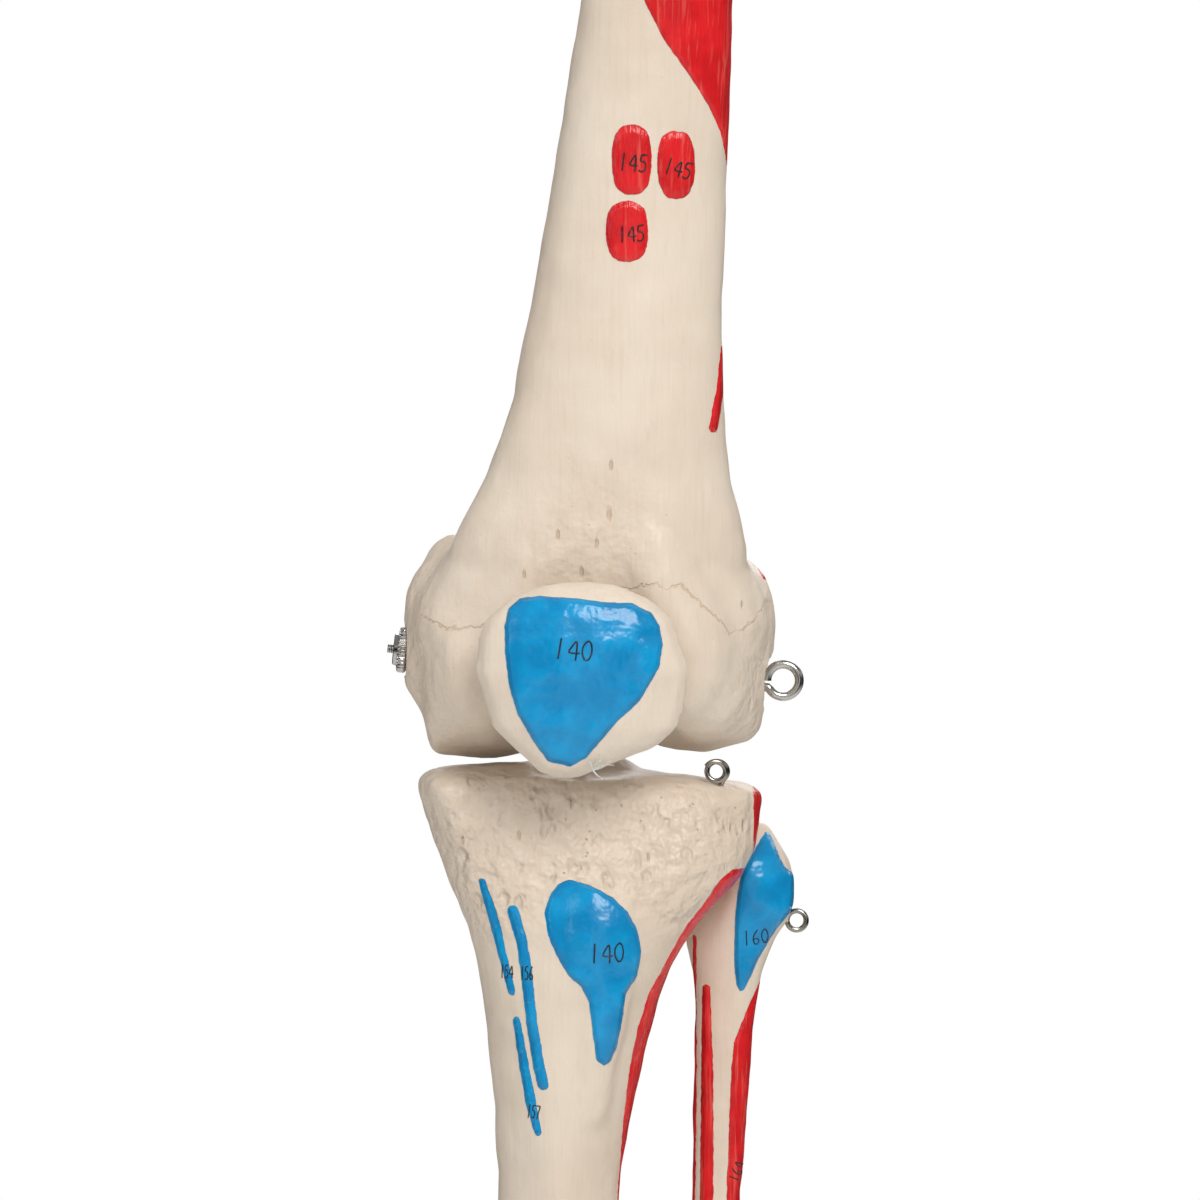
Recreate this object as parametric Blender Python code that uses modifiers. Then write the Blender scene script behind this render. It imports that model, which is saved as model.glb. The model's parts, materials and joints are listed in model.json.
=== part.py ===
"""Left leg of a classroom skeleton, hip stud to toes, as separate bones on real joints.

Lengths are millimetres in the leg frame: the origin is the knee centre, +X lateral (the
wearer's left), +Y to the back, +Z up. The root empty moves the whole leg so that the flat
end of the hip stud is the world origin, and its scale of 0.001 gives metres.
"""

from math import atan2, cos, pi, radians, sin

import bmesh
import bpy
from mathutils import Matrix, Vector

# ---- driving dimensions, mm -------------------------------------------------------------
MM = 0.001
GAP = 0.4                        # air between neighbouring bones
FIT = 0.06                       # radial clearance of a shaft that turns in its bore
WIRE_FIT = 0.12                  # radial clearance of a wire that is glued in its bore

AXLE_MEDIAL = Vector((-42.9, 0, 4.4))      # where the knee axle leaves the medial condyle
AXLE_LATERAL = Vector((39.2, 0, -4.0))     # and the lateral one
AXLE_R = 1.0
EYE_CENTRE = Vector((43.0, 0, -2.5))       # eye bent in the lateral end of the axle
EYE_R = 3.6
EYE_START, EYE_TURN = 207.0, 334.0         # degrees
NUT_R, NUT_T = 5.1, 3.4                    # knurled nut on the medial end
NUT_FACE = 0.9                             # how far the nut's outer face is past AXLE_MEDIAL
NOTCH_HALF = 8.5                           # half width of the notch between the condyles
TONGUE_T, TONGUE_W, TONGUE_DROP = 3.0, 13.0, 62.0

HEAD_CENTRE = Vector((-5.0, -24.0, 408.0))
HEAD_R = 23.0
HIP_STUD_R = 3.0
HIP_STUD_END = -66.0                       # x of the flat end of the hip stud
HIP_STUD_DEPTH = 24.0                      # how deep it goes into the head
WASHER_X, WASHER_R, WASHER_T = -52.0, 9.0, 1.5

ANKLE = Vector((-7.5, 1.0, -392.0))        # centre of the ankle axle
TROCHLEA_R, TROCHLEA_HALF = 17.0, 15.0     # talar dome about the ankle axle
ANKLE_AXLE_R = 1.5
ANKLE_OUT, ANKLE_IN = 21.5, -36.5          # x of the axle's head and of its nut's seat

TIE_R = 0.6                                # tie wire between tibia and fibula
LOOP_R = 2.15                              # mean radius of its end loops
RAY_WIRE_R = 0.6
PIN_R = 1.5                                # pins and screws inside bones
BORE_SIDES = 24

BONE = ("bone_plastic", (0.753, 0.665, 0.571), 0.5, 0.0)
STEEL = ("steel", (0.60, 0.59, 0.57), 0.28, 1.0)


# ---- scene ------------------------------------------------------------------------------
for old in list(bpy.data.objects):
    bpy.data.objects.remove(old)
parts = bpy.data.collections.new("left_leg")
cutters = bpy.data.collections.new("cutters")
for group in (parts, cutters):
    bpy.context.scene.collection.children.link(group)


def material(spec):
    name, colour, roughness, metallic = spec
    found = bpy.data.materials.get(name)
    if found:
        return found
    made = bpy.data.materials.new(name)
    made.use_nodes = True
    surface = made.node_tree.nodes["Principled BSDF"]
    surface.inputs["Base Color"].default_value = (*colour, 1)
    surface.inputs["Roughness"].default_value = roughness
    surface.inputs["Metallic"].default_value = metallic
    return made


def mesh_object(name, bm, spec=None):
    """A new object from a bmesh; without a material it's a cutter."""
    mesh = bpy.data.meshes.new(name)
    bm.normal_update()
    bm.to_mesh(mesh)
    bm.free()
    made = bpy.data.objects.new(name, mesh)
    if spec:
        mesh.materials.append(material(spec))
        parts.objects.link(made)
    else:
        cutters.objects.link(made)
        made.hide_render = True
        made.display_type = "WIRE"
    return made


def evaluated_mesh(obj):
    graph = bpy.context.evaluated_depsgraph_get()
    return bpy.data.meshes.new_from_object(obj.evaluated_get(graph))


def boolean(obj, other, operation="DIFFERENCE"):
    """An exact Boolean, applied at once so that later steps see its result."""
    step = obj.modifiers.new(other.name, "BOOLEAN")
    step.operation = operation
    step.solver = "EXACT"
    step.object = other
    applied = evaluated_mesh(obj)
    obj.modifiers.remove(step)
    obj.data = applied


# ---- simple solids ----------------------------------------------------------------------
def along(direction):
    """Rotation that turns +Z to this direction."""
    return Vector(direction).to_track_quat("Z", "Y").to_matrix().to_4x4()


def add_rod(bm, start, end, r1, r2=None, sides=24):
    start, end = Vector(start), Vector(end)
    place = Matrix.Translation((start + end) / 2) @ along(end - start)
    bmesh.ops.create_cone(bm, cap_ends=True, segments=sides, radius1=r1,
                          radius2=r1 if r2 is None else r2,
                          depth=(end - start).length, matrix=place)


def rod(name, start, end, r, spec=None, sides=24):
    bm = bmesh.new()
    add_rod(bm, start, end, r, sides=sides)
    return mesh_object(name, bm, spec)


def block(name, size, place, spec=None):
    bm = bmesh.new()
    bmesh.ops.create_cube(bm, size=1, matrix=place @ Matrix.Diagonal((*size, 1)))
    return mesh_object(name, bm, spec)


def lathe(name, profile, place, spec=None, sides=32):
    """Profile of (radius, height) pairs turned about Z; radius 0 points are poles."""
    bm = bmesh.new()
    rings = []
    for radius, height in profile:
        if radius == 0:
            rings.append([bm.verts.new((0, 0, height))])
            continue
        rings.append([bm.verts.new((radius * cos(2 * pi * k / sides),
                                    radius * sin(2 * pi * k / sides), height))
                      for k in range(sides)])
    join_rings(bm, rings)
    bmesh.ops.transform(bm, matrix=place, verts=bm.verts)
    bmesh.ops.recalc_face_normals(bm, faces=bm.faces)
    return mesh_object(name, bm, spec)


def ring_lathe(name, profile, place, spec=None, sides=32, knurl=0.0):
    """A closed profile turned about Z, such as a nut; knurl pulls in every second rim point."""
    bm = bmesh.new()
    rim = max(radius for radius, _ in profile)
    rings = [[bm.verts.new(((radius - (knurl if radius == rim and k % 2 else 0))
                            * cos(2 * pi * k / sides),
                            (radius - (knurl if radius == rim and k % 2 else 0))
                            * sin(2 * pi * k / sides), height))
              for k in range(sides)] for radius, height in profile]
    join_rings(bm, rings, closed=True)
    bmesh.ops.transform(bm, matrix=place, verts=bm.verts)
    bmesh.ops.recalc_face_normals(bm, faces=bm.faces)
    return mesh_object(name, bm, spec)


def join_rings(bm, rings, closed=False):
    pairs = list(zip(rings, rings[1:]))
    if closed:
        pairs.append((rings[-1], rings[0]))
    for low, high in pairs:
        sides = max(len(low), len(high))
        for k in range(sides):
            corners = [low[k % len(low)], low[(k + 1) % sides % len(low)],
                       high[(k + 1) % sides % len(high)], high[k % len(high)]]
            unique = list(dict.fromkeys(corners))
            if len(unique) > 2:
                bm.faces.new(unique)


def wire(name, points, radius, spec=None, sides=8):
    """A round wire along the points: a bevelled poly curve made into a mesh."""
    curve = bpy.data.curves.new(name, "CURVE")
    curve.dimensions = "3D"
    curve.bevel_depth = radius
    curve.bevel_resolution = max(0, sides // 2 - 2)
    curve.use_fill_caps = True
    line = curve.splines.new("POLY")
    line.points.add(len(points) - 1)
    for slot, point in zip(line.points, points):
        slot.co = (*point, 1)
    guide = bpy.data.objects.new(name + "_guide", curve)
    cutters.objects.link(guide)
    bm = bmesh.new()
    bm.from_mesh(evaluated_mesh(guide))
    bpy.data.objects.remove(guide)
    bmesh.ops.remove_doubles(bm, verts=bm.verts, dist=0.0001)
    bmesh.ops.recalc_face_normals(bm, faces=bm.faces)
    return mesh_object(name, bm, spec)


# ---- bones ------------------------------------------------------------------------------
def ball_points(ball):
    """Points on an ellipsoid (x, y, z, rx, ry, rz); a ball of one radius gives only rx."""
    x, y, z, rx, *more = ball
    ry, rz = more or (rx, rx)
    rows, turns = 8, 14
    found = [(x, y, z - rz), (x, y, z + rz)]
    for row in range(1, rows):
        polar = pi * row / rows
        found += [(x + rx * sin(polar) * cos(2 * pi * k / turns),
                   y + ry * sin(polar) * sin(2 * pi * k / turns),
                   z + rz * cos(polar)) for k in range(turns)]
    return found


def add_hull(bm, balls):
    """The convex hull of a few ellipsoids, added to the mesh as a closed lump."""
    lump = bmesh.new()
    for ball in balls:
        for point in ball_points(ball):
            lump.verts.new(point)
    made = bmesh.ops.convex_hull(lump, input=lump.verts)
    spare = {v for v in made["geom_interior"] + made["geom_unused"]
             if isinstance(v, bmesh.types.BMVert)}
    bmesh.ops.delete(lump, geom=list(spare), context="VERTS")
    mesh = bpy.data.meshes.new("lump")
    lump.to_mesh(mesh)
    lump.free()
    bm.from_mesh(mesh)


def add_shaft(bm, sections, sides=28, blunt=2.3):
    """A loft of oval sections (z, x0, x1, y0, y1[, keel]); keel narrows the front to a ridge."""
    rings = []
    for z, x0, x1, y0, y1, *keel in sections:
        ring = []
        for k in range(sides):
            c, s = cos(2 * pi * k / sides), sin(2 * pi * k / sides)
            u = abs(c) ** (2 / blunt) * (1 if c > 0 else -1)
            v = abs(s) ** (2 / blunt) * (1 if s > 0 else -1)
            if v < 0 and keel:
                u *= 1 - keel[0] * v * v
            ring.append(bm.verts.new(((x0 + x1 + (x1 - x0) * u) / 2,
                                      (y0 + y1 + (y1 - y0) * v) / 2, z)))
        rings.append(ring)
    join_rings(bm, rings)
    bm.faces.new(rings[0])
    bm.faces.new(rings[-1])
    bmesh.ops.recalc_face_normals(bm, faces=bm.faces)


def bone(name, hulls, shafts=(), triangles=400, voxel=1.4, smooth=6):
    """Lumps and shafts fused by a voxel remesh, smoothed, then thinned to the triangles."""
    bm = bmesh.new()
    for shaft in shafts:
        add_shaft(bm, shaft)
    for balls in hulls:
        add_hull(bm, balls)
    made = mesh_object(name, bm, BONE)
    fuse = made.modifiers.new("fuse", "REMESH")
    fuse.mode = "VOXEL"
    fuse.voxel_size = voxel
    soften = made.modifiers.new("soften", "SMOOTH")
    soften.iterations = smooth
    soften.factor = 0.5
    full = evaluated_mesh(made)
    full.calc_loop_triangles()
    thin = made.modifiers.new("thin", "DECIMATE")
    thin.ratio = min(1.0, triangles / len(full.loop_triangles))
    applied = evaluated_mesh(made)
    made.modifiers.clear()
    made.data = applied
    made.data.materials.clear()
    made.data.materials.append(material(BONE))
    return made


def clear_of(obj, neighbour, gap=GAP):
    """Cuts this bone back so that it stands off its neighbour by the gap."""
    swollen = bpy.data.objects.new(f"{obj.name}_from_{neighbour.name}", neighbour.data.copy())
    cutters.objects.link(swollen)
    swollen.hide_render = True
    swollen.display_type = "WIRE"
    grow = swollen.modifiers.new("grow", "DISPLACE")
    grow.strength = gap
    grow.mid_level = 0
    boolean(obj, swollen)


def axle_at(x):
    """The point of the knee axle's line at this x."""
    share = (x - AXLE_MEDIAL.x) / (AXLE_LATERAL.x - AXLE_MEDIAL.x)
    return AXLE_MEDIAL.lerp(AXLE_LATERAL, share)


AXLE_DIR = (AXLE_LATERAL - AXLE_MEDIAL).normalized()
KNEE = axle_at(0)
KNEE_TURN = Matrix.Rotation(atan2(-AXLE_DIR.z, AXLE_DIR.x), 4, "Y")
KNEE_FRAME = Matrix.Translation(KNEE) @ KNEE_TURN      # +X along the axle

FEMUR_SHAFT = [
    (4, -24, 26, -26, 2), (16, -31, 33, -31, 1), (26.4, -31.5, 34.8, -33, 0),
    (31.9, -28.9, 33.6, -33.5, -1.5), (37.4, -25.6, 32.1, -34, -3),
    (42.9, -22.9, 31, -34, -4), (48.4, -20.7, 30.4, -34.5, -5),
    (59.4, -17.4, 29.5, -35, -6), (81.4, -12.8, 29.2, -35.5, -7.5),
    (103.4, -9, 29.9, -36.5, -8.5), (125.4, -5.5, 30.6, -37.5, -9.5),
    (147.4, -2.2, 31.5, -38, -10), (200, 4.6, 35.2, -38.5, -10.5),
    (260, 11.2, 40.2, -36.5, -9), (320, 16.6, 46.6, -32, -4),
    (355, 16, 51.5, -29, -1), (380, 20, 58, -27, 3), (392, 26, 58, -23, 4)]
FEMUR_LUMPS = [
    # medial condyle, its epicondyle, and the medial lip of the groove
    [(-34.6, 0, 2.4, 3.2, 20.4, 21.6), (-21.5, 0, 2.2, 8, 20.6, 22.0),
     (-25, -17, 2, 10, 12, 16.5)],
    [(-15, 0, 2, 5.5, 17.5, 21.2), (-21.5, 0, 2.2, 8, 20.6, 22.0)],
    [(-32.5, 1, 11, 9.3, 14, 15.5), (-36, 0, 3.6, 6.3, 12, 13), (-26, -8, 12, 9, 18, 14)],
    [(-30.5, 4, 21, 7.6, 9, 9.4), (-24, 2, 18, 6, 10, 12)],
    [(-19, -20, 4, 9, 12, 15), (-2, -15, 8, 8, 11, 13)],
    # lateral condyle, its epicondyle, and the higher lateral lip
    [(35, 0, -3.6, 4.6, 14.5, 13.2), (25.5, 1, -2, 9, 18.4, 17.0), (24, -18, 0, 11, 12, 15)],
    [(16, 0, -1.6, 6, 15.5, 16), (25.5, 1, -2, 9, 18.4, 17)],
    [(33, 1, 10, 8.6, 13, 15), (28, -8, 10, 9, 18, 14), (34.8, 0, 0, 5.8, 10, 7)],
    [(21, -22, 4, 11, 14, 17), (2, -15, 8, 8, 11, 13)],
    [(-20, -4, 10, 9, 14, 14), (20, -4, 8, 9, 14, 14)],
    # the flare that carries the shaft down into both condyles
    [(-27, -8, 10, 12.5, 19, 15), (-14, -17, 36, 8, 14, 10)],
    [(28, -8, 10, 12, 19, 15), (18, -17, 36, 10, 14, 10)],
    [(-19, -20, 4, 9, 12, 15), (-9, -20, 36, 10, 12.5, 9), (-30, -6, 10, 10, 15, 12)],
    [(21, -22, 4, 11, 14, 17), (9, -21, 36, 12, 12.5, 9), (31, -6, 10, 9, 15, 12)],
    # greater trochanter, neck, head, lesser trochanter, linea aspera
    [(46, -9, 384, 13, 15, 19), (50, -3, 404, 7.5, 11, 9), (40, -11, 362, 11, 13, 15)],
    [(36, -13, 380, 11, 12, 17), (11, -20.5, 399, 12.5, 12.5, 13.5)],
    [(*HEAD_CENTRE, HEAD_R)],
    [(23, 1, 347, 6, 6.5, 9), (26, -9, 350, 9, 8, 19)],
    [(20, -9.5, 130, 2.6, 3, 8), (24, -9, 215, 2.6, 3.4, 8), (29, -6, 305, 2.6, 3.4, 10)]]

TIBIA_SHAFT = [
    (-23.2, -35, 21, -20, 19), (-25.7, -37.2, 36.6, -23, 22), (-28.6, -37.9, 37.6, -24, 23),
    (-34.1, -36.2, 37.6, -24.5, 22), (-39.6, -34.4, 36.8, -25, 20),
    (-45.1, -32.2, 34, -26, 17), (-50.6, -29.6, 29, -27, 14.5), (-56.1, -27.2, 24.2, -27.5, 13),
    (-61.6, -25.6, 20.4, -27.5, 12, 0.05), (-67.1, -24.6, 17.4, -27.5, 11, 0.1),
    (-72.6, -23.9, 15.3, -27, 10.5, 0.15), (-83.6, -22.5, 12.2, -26, 9.5, 0.25),
    (-94.6, -21.5, 9.7, -25, 8.5, 0.35), (-111, -20.6, 6.9, -24, 8, 0.45),
    (-150, -20.8, 4.7, -23, 7, 0.5), (-200, -21.8, 2.4, -21, 7, 0.5),
    (-260, -22.4, 1.2, -18, 7, 0.4), (-310, -23.2, 2, -14.5, 8.5, 0.2),
    (-345, -26, 6, -14, 10), (-362, -31, 9.5, -15.5, 13.5), (-378, -33.5, 9.5, -14.5, 15)]
TIBIA_LUMPS = [
    # medial plateau, the two spines between the plateaus, lateral plateau
    [(-31.6, -1, -26, 7, 21, 4.6), (-10, 0, -25.5, 7, 15, 5.6), (-27, -2, -36, 7.5, 19, 7)],
    [(-5.5, 1, -24, 5, 7, 5.2), (6, 1, -24, 5, 7, 4.9)],
    [(29.5, 0, -28.8, 9, 18, 3.9), (10, 0, -27, 7, 15, 5)],
    # tuberosity, medial malleolus
    [(1.5, -23, -56, 9.5, 6.8, 12), (2, -23, -70, 7, 6, 12), (0, -20.5, -90, 5, 5, 12)],
    [(-29, 1, -378, 4.8, 11.5, 9), (-29.3, 0.5, -392, 4.4, 8.5, 8.5)]]

FIBULA_SHAFT = [
    (-50, 27.5, 45, 4.5, 23.5), (-56, 23.5, 44.2, 5.5, 22.8), (-61, 21.3, 41.4, 6, 21.5),
    (-68.2, 23.1, 38.6, 6.5, 20), (-73.9, 23.6, 37.4, 7, 19.5), (-81.4, 23.5, 36.3, 7, 19),
    (-96.1, 23.1, 35.4, 7, 19), (-116.6, 22.9, 33.6, 7, 18.5), (-160, 21.5, 33, 6, 18),
    (-220, 20, 31.5, 4, 16), (-280, 17.5, 29, 1, 13), (-330, 13.5, 25.5, -2, 11),
    (-355, 10.5, 24, -4, 11.5), (-372, 9.5, 23, -6, 12.5), (-388, 10, 21.5, -6.5, 11.5),
    (-399, 11.5, 20, -4, 8.5)]
FIBULA_LUMPS = [
    [(36.5, 14, -47, 9.2, 9.6, 9.5), (37.6, 16, -39, 4.2, 5, 5), (37, 14, -53, 8.9, 9, 8)],
    [(16, 2, -390, 5, 8, 8), (15.6, 2, -398, 3.6, 5, 6.6)]]


# ---- the four long bones and the patella ------------------------------------------------
femur = bone("femur", FEMUR_LUMPS, [FEMUR_SHAFT], triangles=3400, voxel=1.5, smooth=5)
tibia = bone("tibia", TIBIA_LUMPS, [TIBIA_SHAFT], triangles=2600, voxel=1.4, smooth=4)
fibula = bone("fibula", FIBULA_LUMPS, [FIBULA_SHAFT], triangles=1200, voxel=1.2, smooth=4)
patella = bone("patella", [
    [(-2.4, -41, 5.8, 22.2, 7.5, 13.8), (-1.7, -41, 0, 23.4, 7.5, 12), (-1, -40, -8, 21.7, 7, 12),
     (-5.4, -39, -17.6, 8.4, 5.5, 6.0), (-1.5, -36, 0, 16, 6.5, 13)]],
    triangles=700, voxel=1.0, smooth=4)

# the groove for the patella, and the notch between the condyles for the tongue
clear_of(femur, patella, 0.6)
notch = block("notch", (2 * NOTCH_HALF, 46, 60),
              KNEE_FRAME @ Matrix.Translation((0, 14, -20.5)))
boolean(femur, notch)
roof = rod("notch_roof", KNEE_FRAME @ Vector((-NOTCH_HALF, 0, 0)),
           KNEE_FRAME @ Vector((NOTCH_HALF, 0, 0)), 9.5)
boolean(femur, roof)
fossa = block("notch_back", (2 * NOTCH_HALF - 2, 40, 40),
              KNEE_FRAME @ Matrix.Translation((0, 22.5, 2)))
boolean(femur, fossa)
boolean(femur, rod("axle_bore", axle_at(-60), axle_at(60), AXLE_R + FIT))
nut_inner = AXLE_MEDIAL - AXLE_DIR * (NUT_FACE - NUT_T)
boolean(femur, rod("eye_seat", axle_at(38.1), axle_at(60), EYE_R + 3.4))
boolean(femur, rod("nut_seat", nut_inner + AXLE_DIR * 0.35, axle_at(-60), NUT_R + 0.7, sides=32))

# ---- knee hardware ----------------------------------------------------------------------
axle_end = AXLE_MEDIAL - AXLE_DIR * (NUT_FACE + 1.3)
eye = [EYE_CENTRE + EYE_R * Vector((cos(radians(EYE_START + EYE_TURN * k / 20)), 0,
                                    sin(radians(EYE_START + EYE_TURN * k / 20))))
       for k in range(21)]
wire("knee_axle", [axle_end, axle_at(38.4)] + eye, AXLE_R, STEEL, sides=12)

nut_frame = Matrix.Translation(nut_inner) @ along(-AXLE_DIR)

ring_lathe("knee_nut", [
    (AXLE_R + FIT, 0), (NUT_R - 0.6, 0), (NUT_R, 0.5), (NUT_R, 2.1), (NUT_R - 0.9, 2.8),
    (NUT_R - 2.4, NUT_T), (AXLE_R + FIT, NUT_T)], nut_frame, STEEL, 32, knurl=0.45)

# steel tongue set in the tibia, its eye on the axle, with a spacer tube on each side
eye_and_bar = bmesh.new()
add_rod(eye_and_bar, (-TONGUE_T / 2, 0, 0), (TONGUE_T / 2, 0, 0), TONGUE_W / 2)
tongue = mesh_object("knee_tongue", eye_and_bar, STEEL)
tongue.data.transform(KNEE_FRAME)
bar = block("tongue_bar", (TONGUE_T, TONGUE_W, TONGUE_DROP),
            KNEE_FRAME @ Matrix.Translation((0, 0, -TONGUE_DROP / 2)))
boolean(tongue, bar, "UNION")
boolean(tongue, rod("tongue_bore", axle_at(-6), axle_at(6), AXLE_R + FIT))
slot = block("tongue_slot", (TONGUE_T + 0.6, TONGUE_W + 0.6, TONGUE_DROP),
             KNEE_FRAME @ Matrix.Translation((0, 0, -TONGUE_DROP / 2 - 0.5)))
boolean(tibia, slot)
for label, depth in (("upper", 38.0), ("lower", 52.0)):
    middle = KNEE_FRAME @ Vector((0, 0, -depth))
    reach = KNEE_TURN @ Vector((12.0, 0, 0))
    pin = rod(f"tongue_pin_{label}", middle - reach, middle + reach, PIN_R, STEEL, 16)
    bore = rod(f"tongue_pin_bore_{label}", middle - 6 * reach, middle + 6 * reach,
               PIN_R + WIRE_FIT, sides=16)
    for holed in (tongue, tibia):
        boolean(holed, bore)
for label, side in (("medial", -1), ("lateral", 1)):
    near, far = TONGUE_T / 2 + 0.3, NOTCH_HALF - 0.3
    ring_lathe(f"knee_spacer_{label}", [
        (AXLE_R + FIT, near), (2.6, near), (2.6, far), (AXLE_R + FIT, far)],
        KNEE_FRAME @ along((side, 0, 0)), STEEL, BORE_SIDES)

# stud that holds the patella off the femur
stud_front, stud_back = Vector((-2, -38, 4)), Vector((-2, -14, 4))
rod("patella_stud", stud_front, stud_back, PIN_R, STEEL, 16)
for holed in (patella, femur):
    boolean(holed, rod(f"stud_bore_{holed.name}", stud_front + Vector((0, -0.4, 0)),
                       stud_back + Vector((0, 0.4, 0)), PIN_R + WIRE_FIT, sides=16))

# ---- tibia and fibula -------------------------------------------------------------------
clear_of(tibia, fibula)
tie_path = [Vector(p) for p in ((27.7, -15, -26.4), (28.5, 3, -42), (43.0, 15, -55.6))]


def tie_loop(centre, start, turn):
    return [centre + LOOP_R * Vector((cos(radians(start + turn * k / 12)), 0,
                                      sin(radians(start + turn * k / 12))))
            for k in range(13)]


upper_loop = tie_loop(Vector((27.9, -15, -22.4)), 150, -310)
lower_loop = tie_loop(Vector((46.4, 15, -56.6)), 185, 330)
tie = wire("tibiofibular_tie_wire", upper_loop + [Vector((27.7, -15, -26.4))] + tie_path[1:]
           + lower_loop, TIE_R, STEEL, 8)
for holed in (tibia, fibula):
    clear_of(holed, tie, WIRE_FIT)

screw_z, screw_y = -338.0, 4.0
screw_head, screw_tip = Vector((26.4, screw_y, screw_z)), Vector((-10, screw_y, screw_z))
ring = along((-1, 0, 0))
lathe("tibiofibular_screw", [
    (0, 0), (3, 0), (3, 1.6), (PIN_R, 1.6), (PIN_R, 34), (0.5, 36.4), (0, 36.4)],
    Matrix.Translation(screw_head) @ ring, STEEL, 16)
for holed in (tibia, fibula):
    boolean(holed, rod(f"screw_bore_{holed.name}", screw_head,
                       screw_tip - Vector((0.6, 0, 0)), PIN_R + WIRE_FIT, sides=16))
boolean(fibula, rod("screw_seat", screw_head + Vector((8, 0, 0)),
                    screw_head + Vector((-1.9, 0, 0)), 3.4))

# ---- ankle and foot ---------------------------------------------------------------------
ax, ay, az = ANKLE


def ankle_disc(x, r=TROCHLEA_R, thick=3.0):
    return (x, ay, az, thick, r, r)


talus = bone("talus", [
    [ankle_disc(ax - 12), ankle_disc(ax + 12)],
    [(-11, -13, -400, 11, 9, 10), (-17, -33, -402, 13, 11, 12.5)],
    [(-6, 17, -402, 8, 6, 6), (-6, 2, -403, 13, 14, 8)]], triangles=620, voxel=1.0, smooth=3)
calcaneus = bone("calcaneus", [
    [(-6, 37, -429.5, 14.5, 14, 20.5), (-4, 8, -424, 13.5, 14, 15.5)],
    [(-4, 8, -423, 13.5, 14, 15), (3, -20, -427, 13, 13.5, 13.5)],
    [(-18, -3, -416, 9, 10, 6), (-4, 0, -418, 9, 13, 9)],
    [(-12, 40, -444, 6, 7, 6.5), (0, 40, -444, 5.5, 7, 6.5)]],
    triangles=620, voxel=1.0, smooth=3)
navicular = bone("navicular", [
    [(-18, -49, -405.5, 15, 8.5, 13.5), (-28, -50, -409, 8, 8, 9)]],
    triangles=320, voxel=0.9, smooth=3)
cuboid = bone("cuboid", [
    [(9.5, -41, -429, 12.5, 12, 12.5), (12.5, -54, -431, 12.5, 8.5, 11)]],
    triangles=320, voxel=0.9, smooth=3)
CUNEIFORMS = {
    "medial": [(-29.5, -62, -416, 8.6, 9, 12), (-31, -77, -419, 8.4, 7.5, 14)],
    "intermediate": [(-17, -61, -405, 7.8, 8, 10.5), (-15.5, -71, -406, 7.6, 7.5, 10.5)],
    "lateral": [(-4.5, -60, -409, 8.6, 9, 12), (-2.5, -75, -411, 8, 7.5, 12)]}
cuneiforms = {side: bone(f"{side}_cuneiform", [balls], triangles=260, voxel=0.9, smooth=3)
              for side, balls in CUNEIFORMS.items()}

# each ray: metatarsal base and head (x, y, z, r), then the joints of its toe (x, y, z)
RAYS = {
    1: ((-31, -89, -421, 10.2), (-32, -143, -438, 10.4),
        [(-32, -143, -438), (-31, -184, -439.5), (-29.5, -205, -441)], 8.0),
    2: ((-15.2, -83, -409, 8.2), (-12, -152, -440, 6.8),
        [(-12, -152, -440), (-11, -183, -439), (-10.6, -197, -441), (-10.3, -208, -443)], 5.0),
    3: ((-2.0, -86, -414, 7.8), (2, -148, -441, 6.6),
        [(2, -148, -441), (3.6, -176, -440), (4.2, -189, -442), (4.6, -199, -443.5)], 4.8),
    4: ((9.5, -68, -426, 8.0), (15, -141, -442, 6.4),
        [(15, -141, -442), (17, -166, -441), (17.8, -177, -442.5), (18.4, -186, -444)], 4.6),
    5: ((20.8, -65, -432, 7.8), (27.5, -131, -442.5, 6.2),
        [(27.5, -131, -442.5), (29.8, -153, -442), (30.6, -162, -443), (31.2, -170, -444)], 4.6)}


def long_bone(name, a, b, r_a, r_waist, r_b, triangles, extra=()):
    """A small long bone from a to b: two knuckles and a slimmer waist between them."""
    a, b = Vector(a), Vector(b)
    waist = a.lerp(b, 0.5) + Vector((0, 0, 0.12 * (a - b).length * 0.5))
    low, high = (*a, r_a), (*b, r_b)
    mid = (*waist, r_waist)
    return bone(name, [[low, mid], [mid, high], *extra], triangles=triangles, voxel=0.8,
                smooth=3)


metatarsals = {}
for ray, (base, head, joints, girth) in RAYS.items():
    extra = []
    if ray == 5:
        extra = [[(26.5, -61, -437, 3.6, 5, 3.6), (21, -70, -432, 4, 5, 4)]]
    metatarsals[ray] = long_bone(
        f"metatarsal_{ray}", base[:3], head[:3], base[3],
        6.6 if ray == 1 else 4.2, head[3], 330, extra)
toes = {}
for ray, (base, head, joints, girth) in RAYS.items():
    names = ("proximal", "distal") if ray == 1 else ("proximal", "middle", "distal")
    ends = [Vector(j) for j in joints]
    for index, label in enumerate(names):
        start, end = ends[index], ends[index + 1]
        step = (end - start).normalized()
        first_r = girth * (1.0 - 0.08 * index)
        last_r = first_r * (0.72 if label == "distal" else 0.84)
        lead = head[3] + 0.62 * first_r if index == 0 else first_r + 0.2
        tail = 0.0 if label == "distal" else last_r * 0.9
        toes[ray, label] = long_bone(
            f"toe_{ray}_{label}_phalanx", start + step * lead, end - step * tail,
            first_r, first_r * 0.68, last_r, 170)

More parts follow.
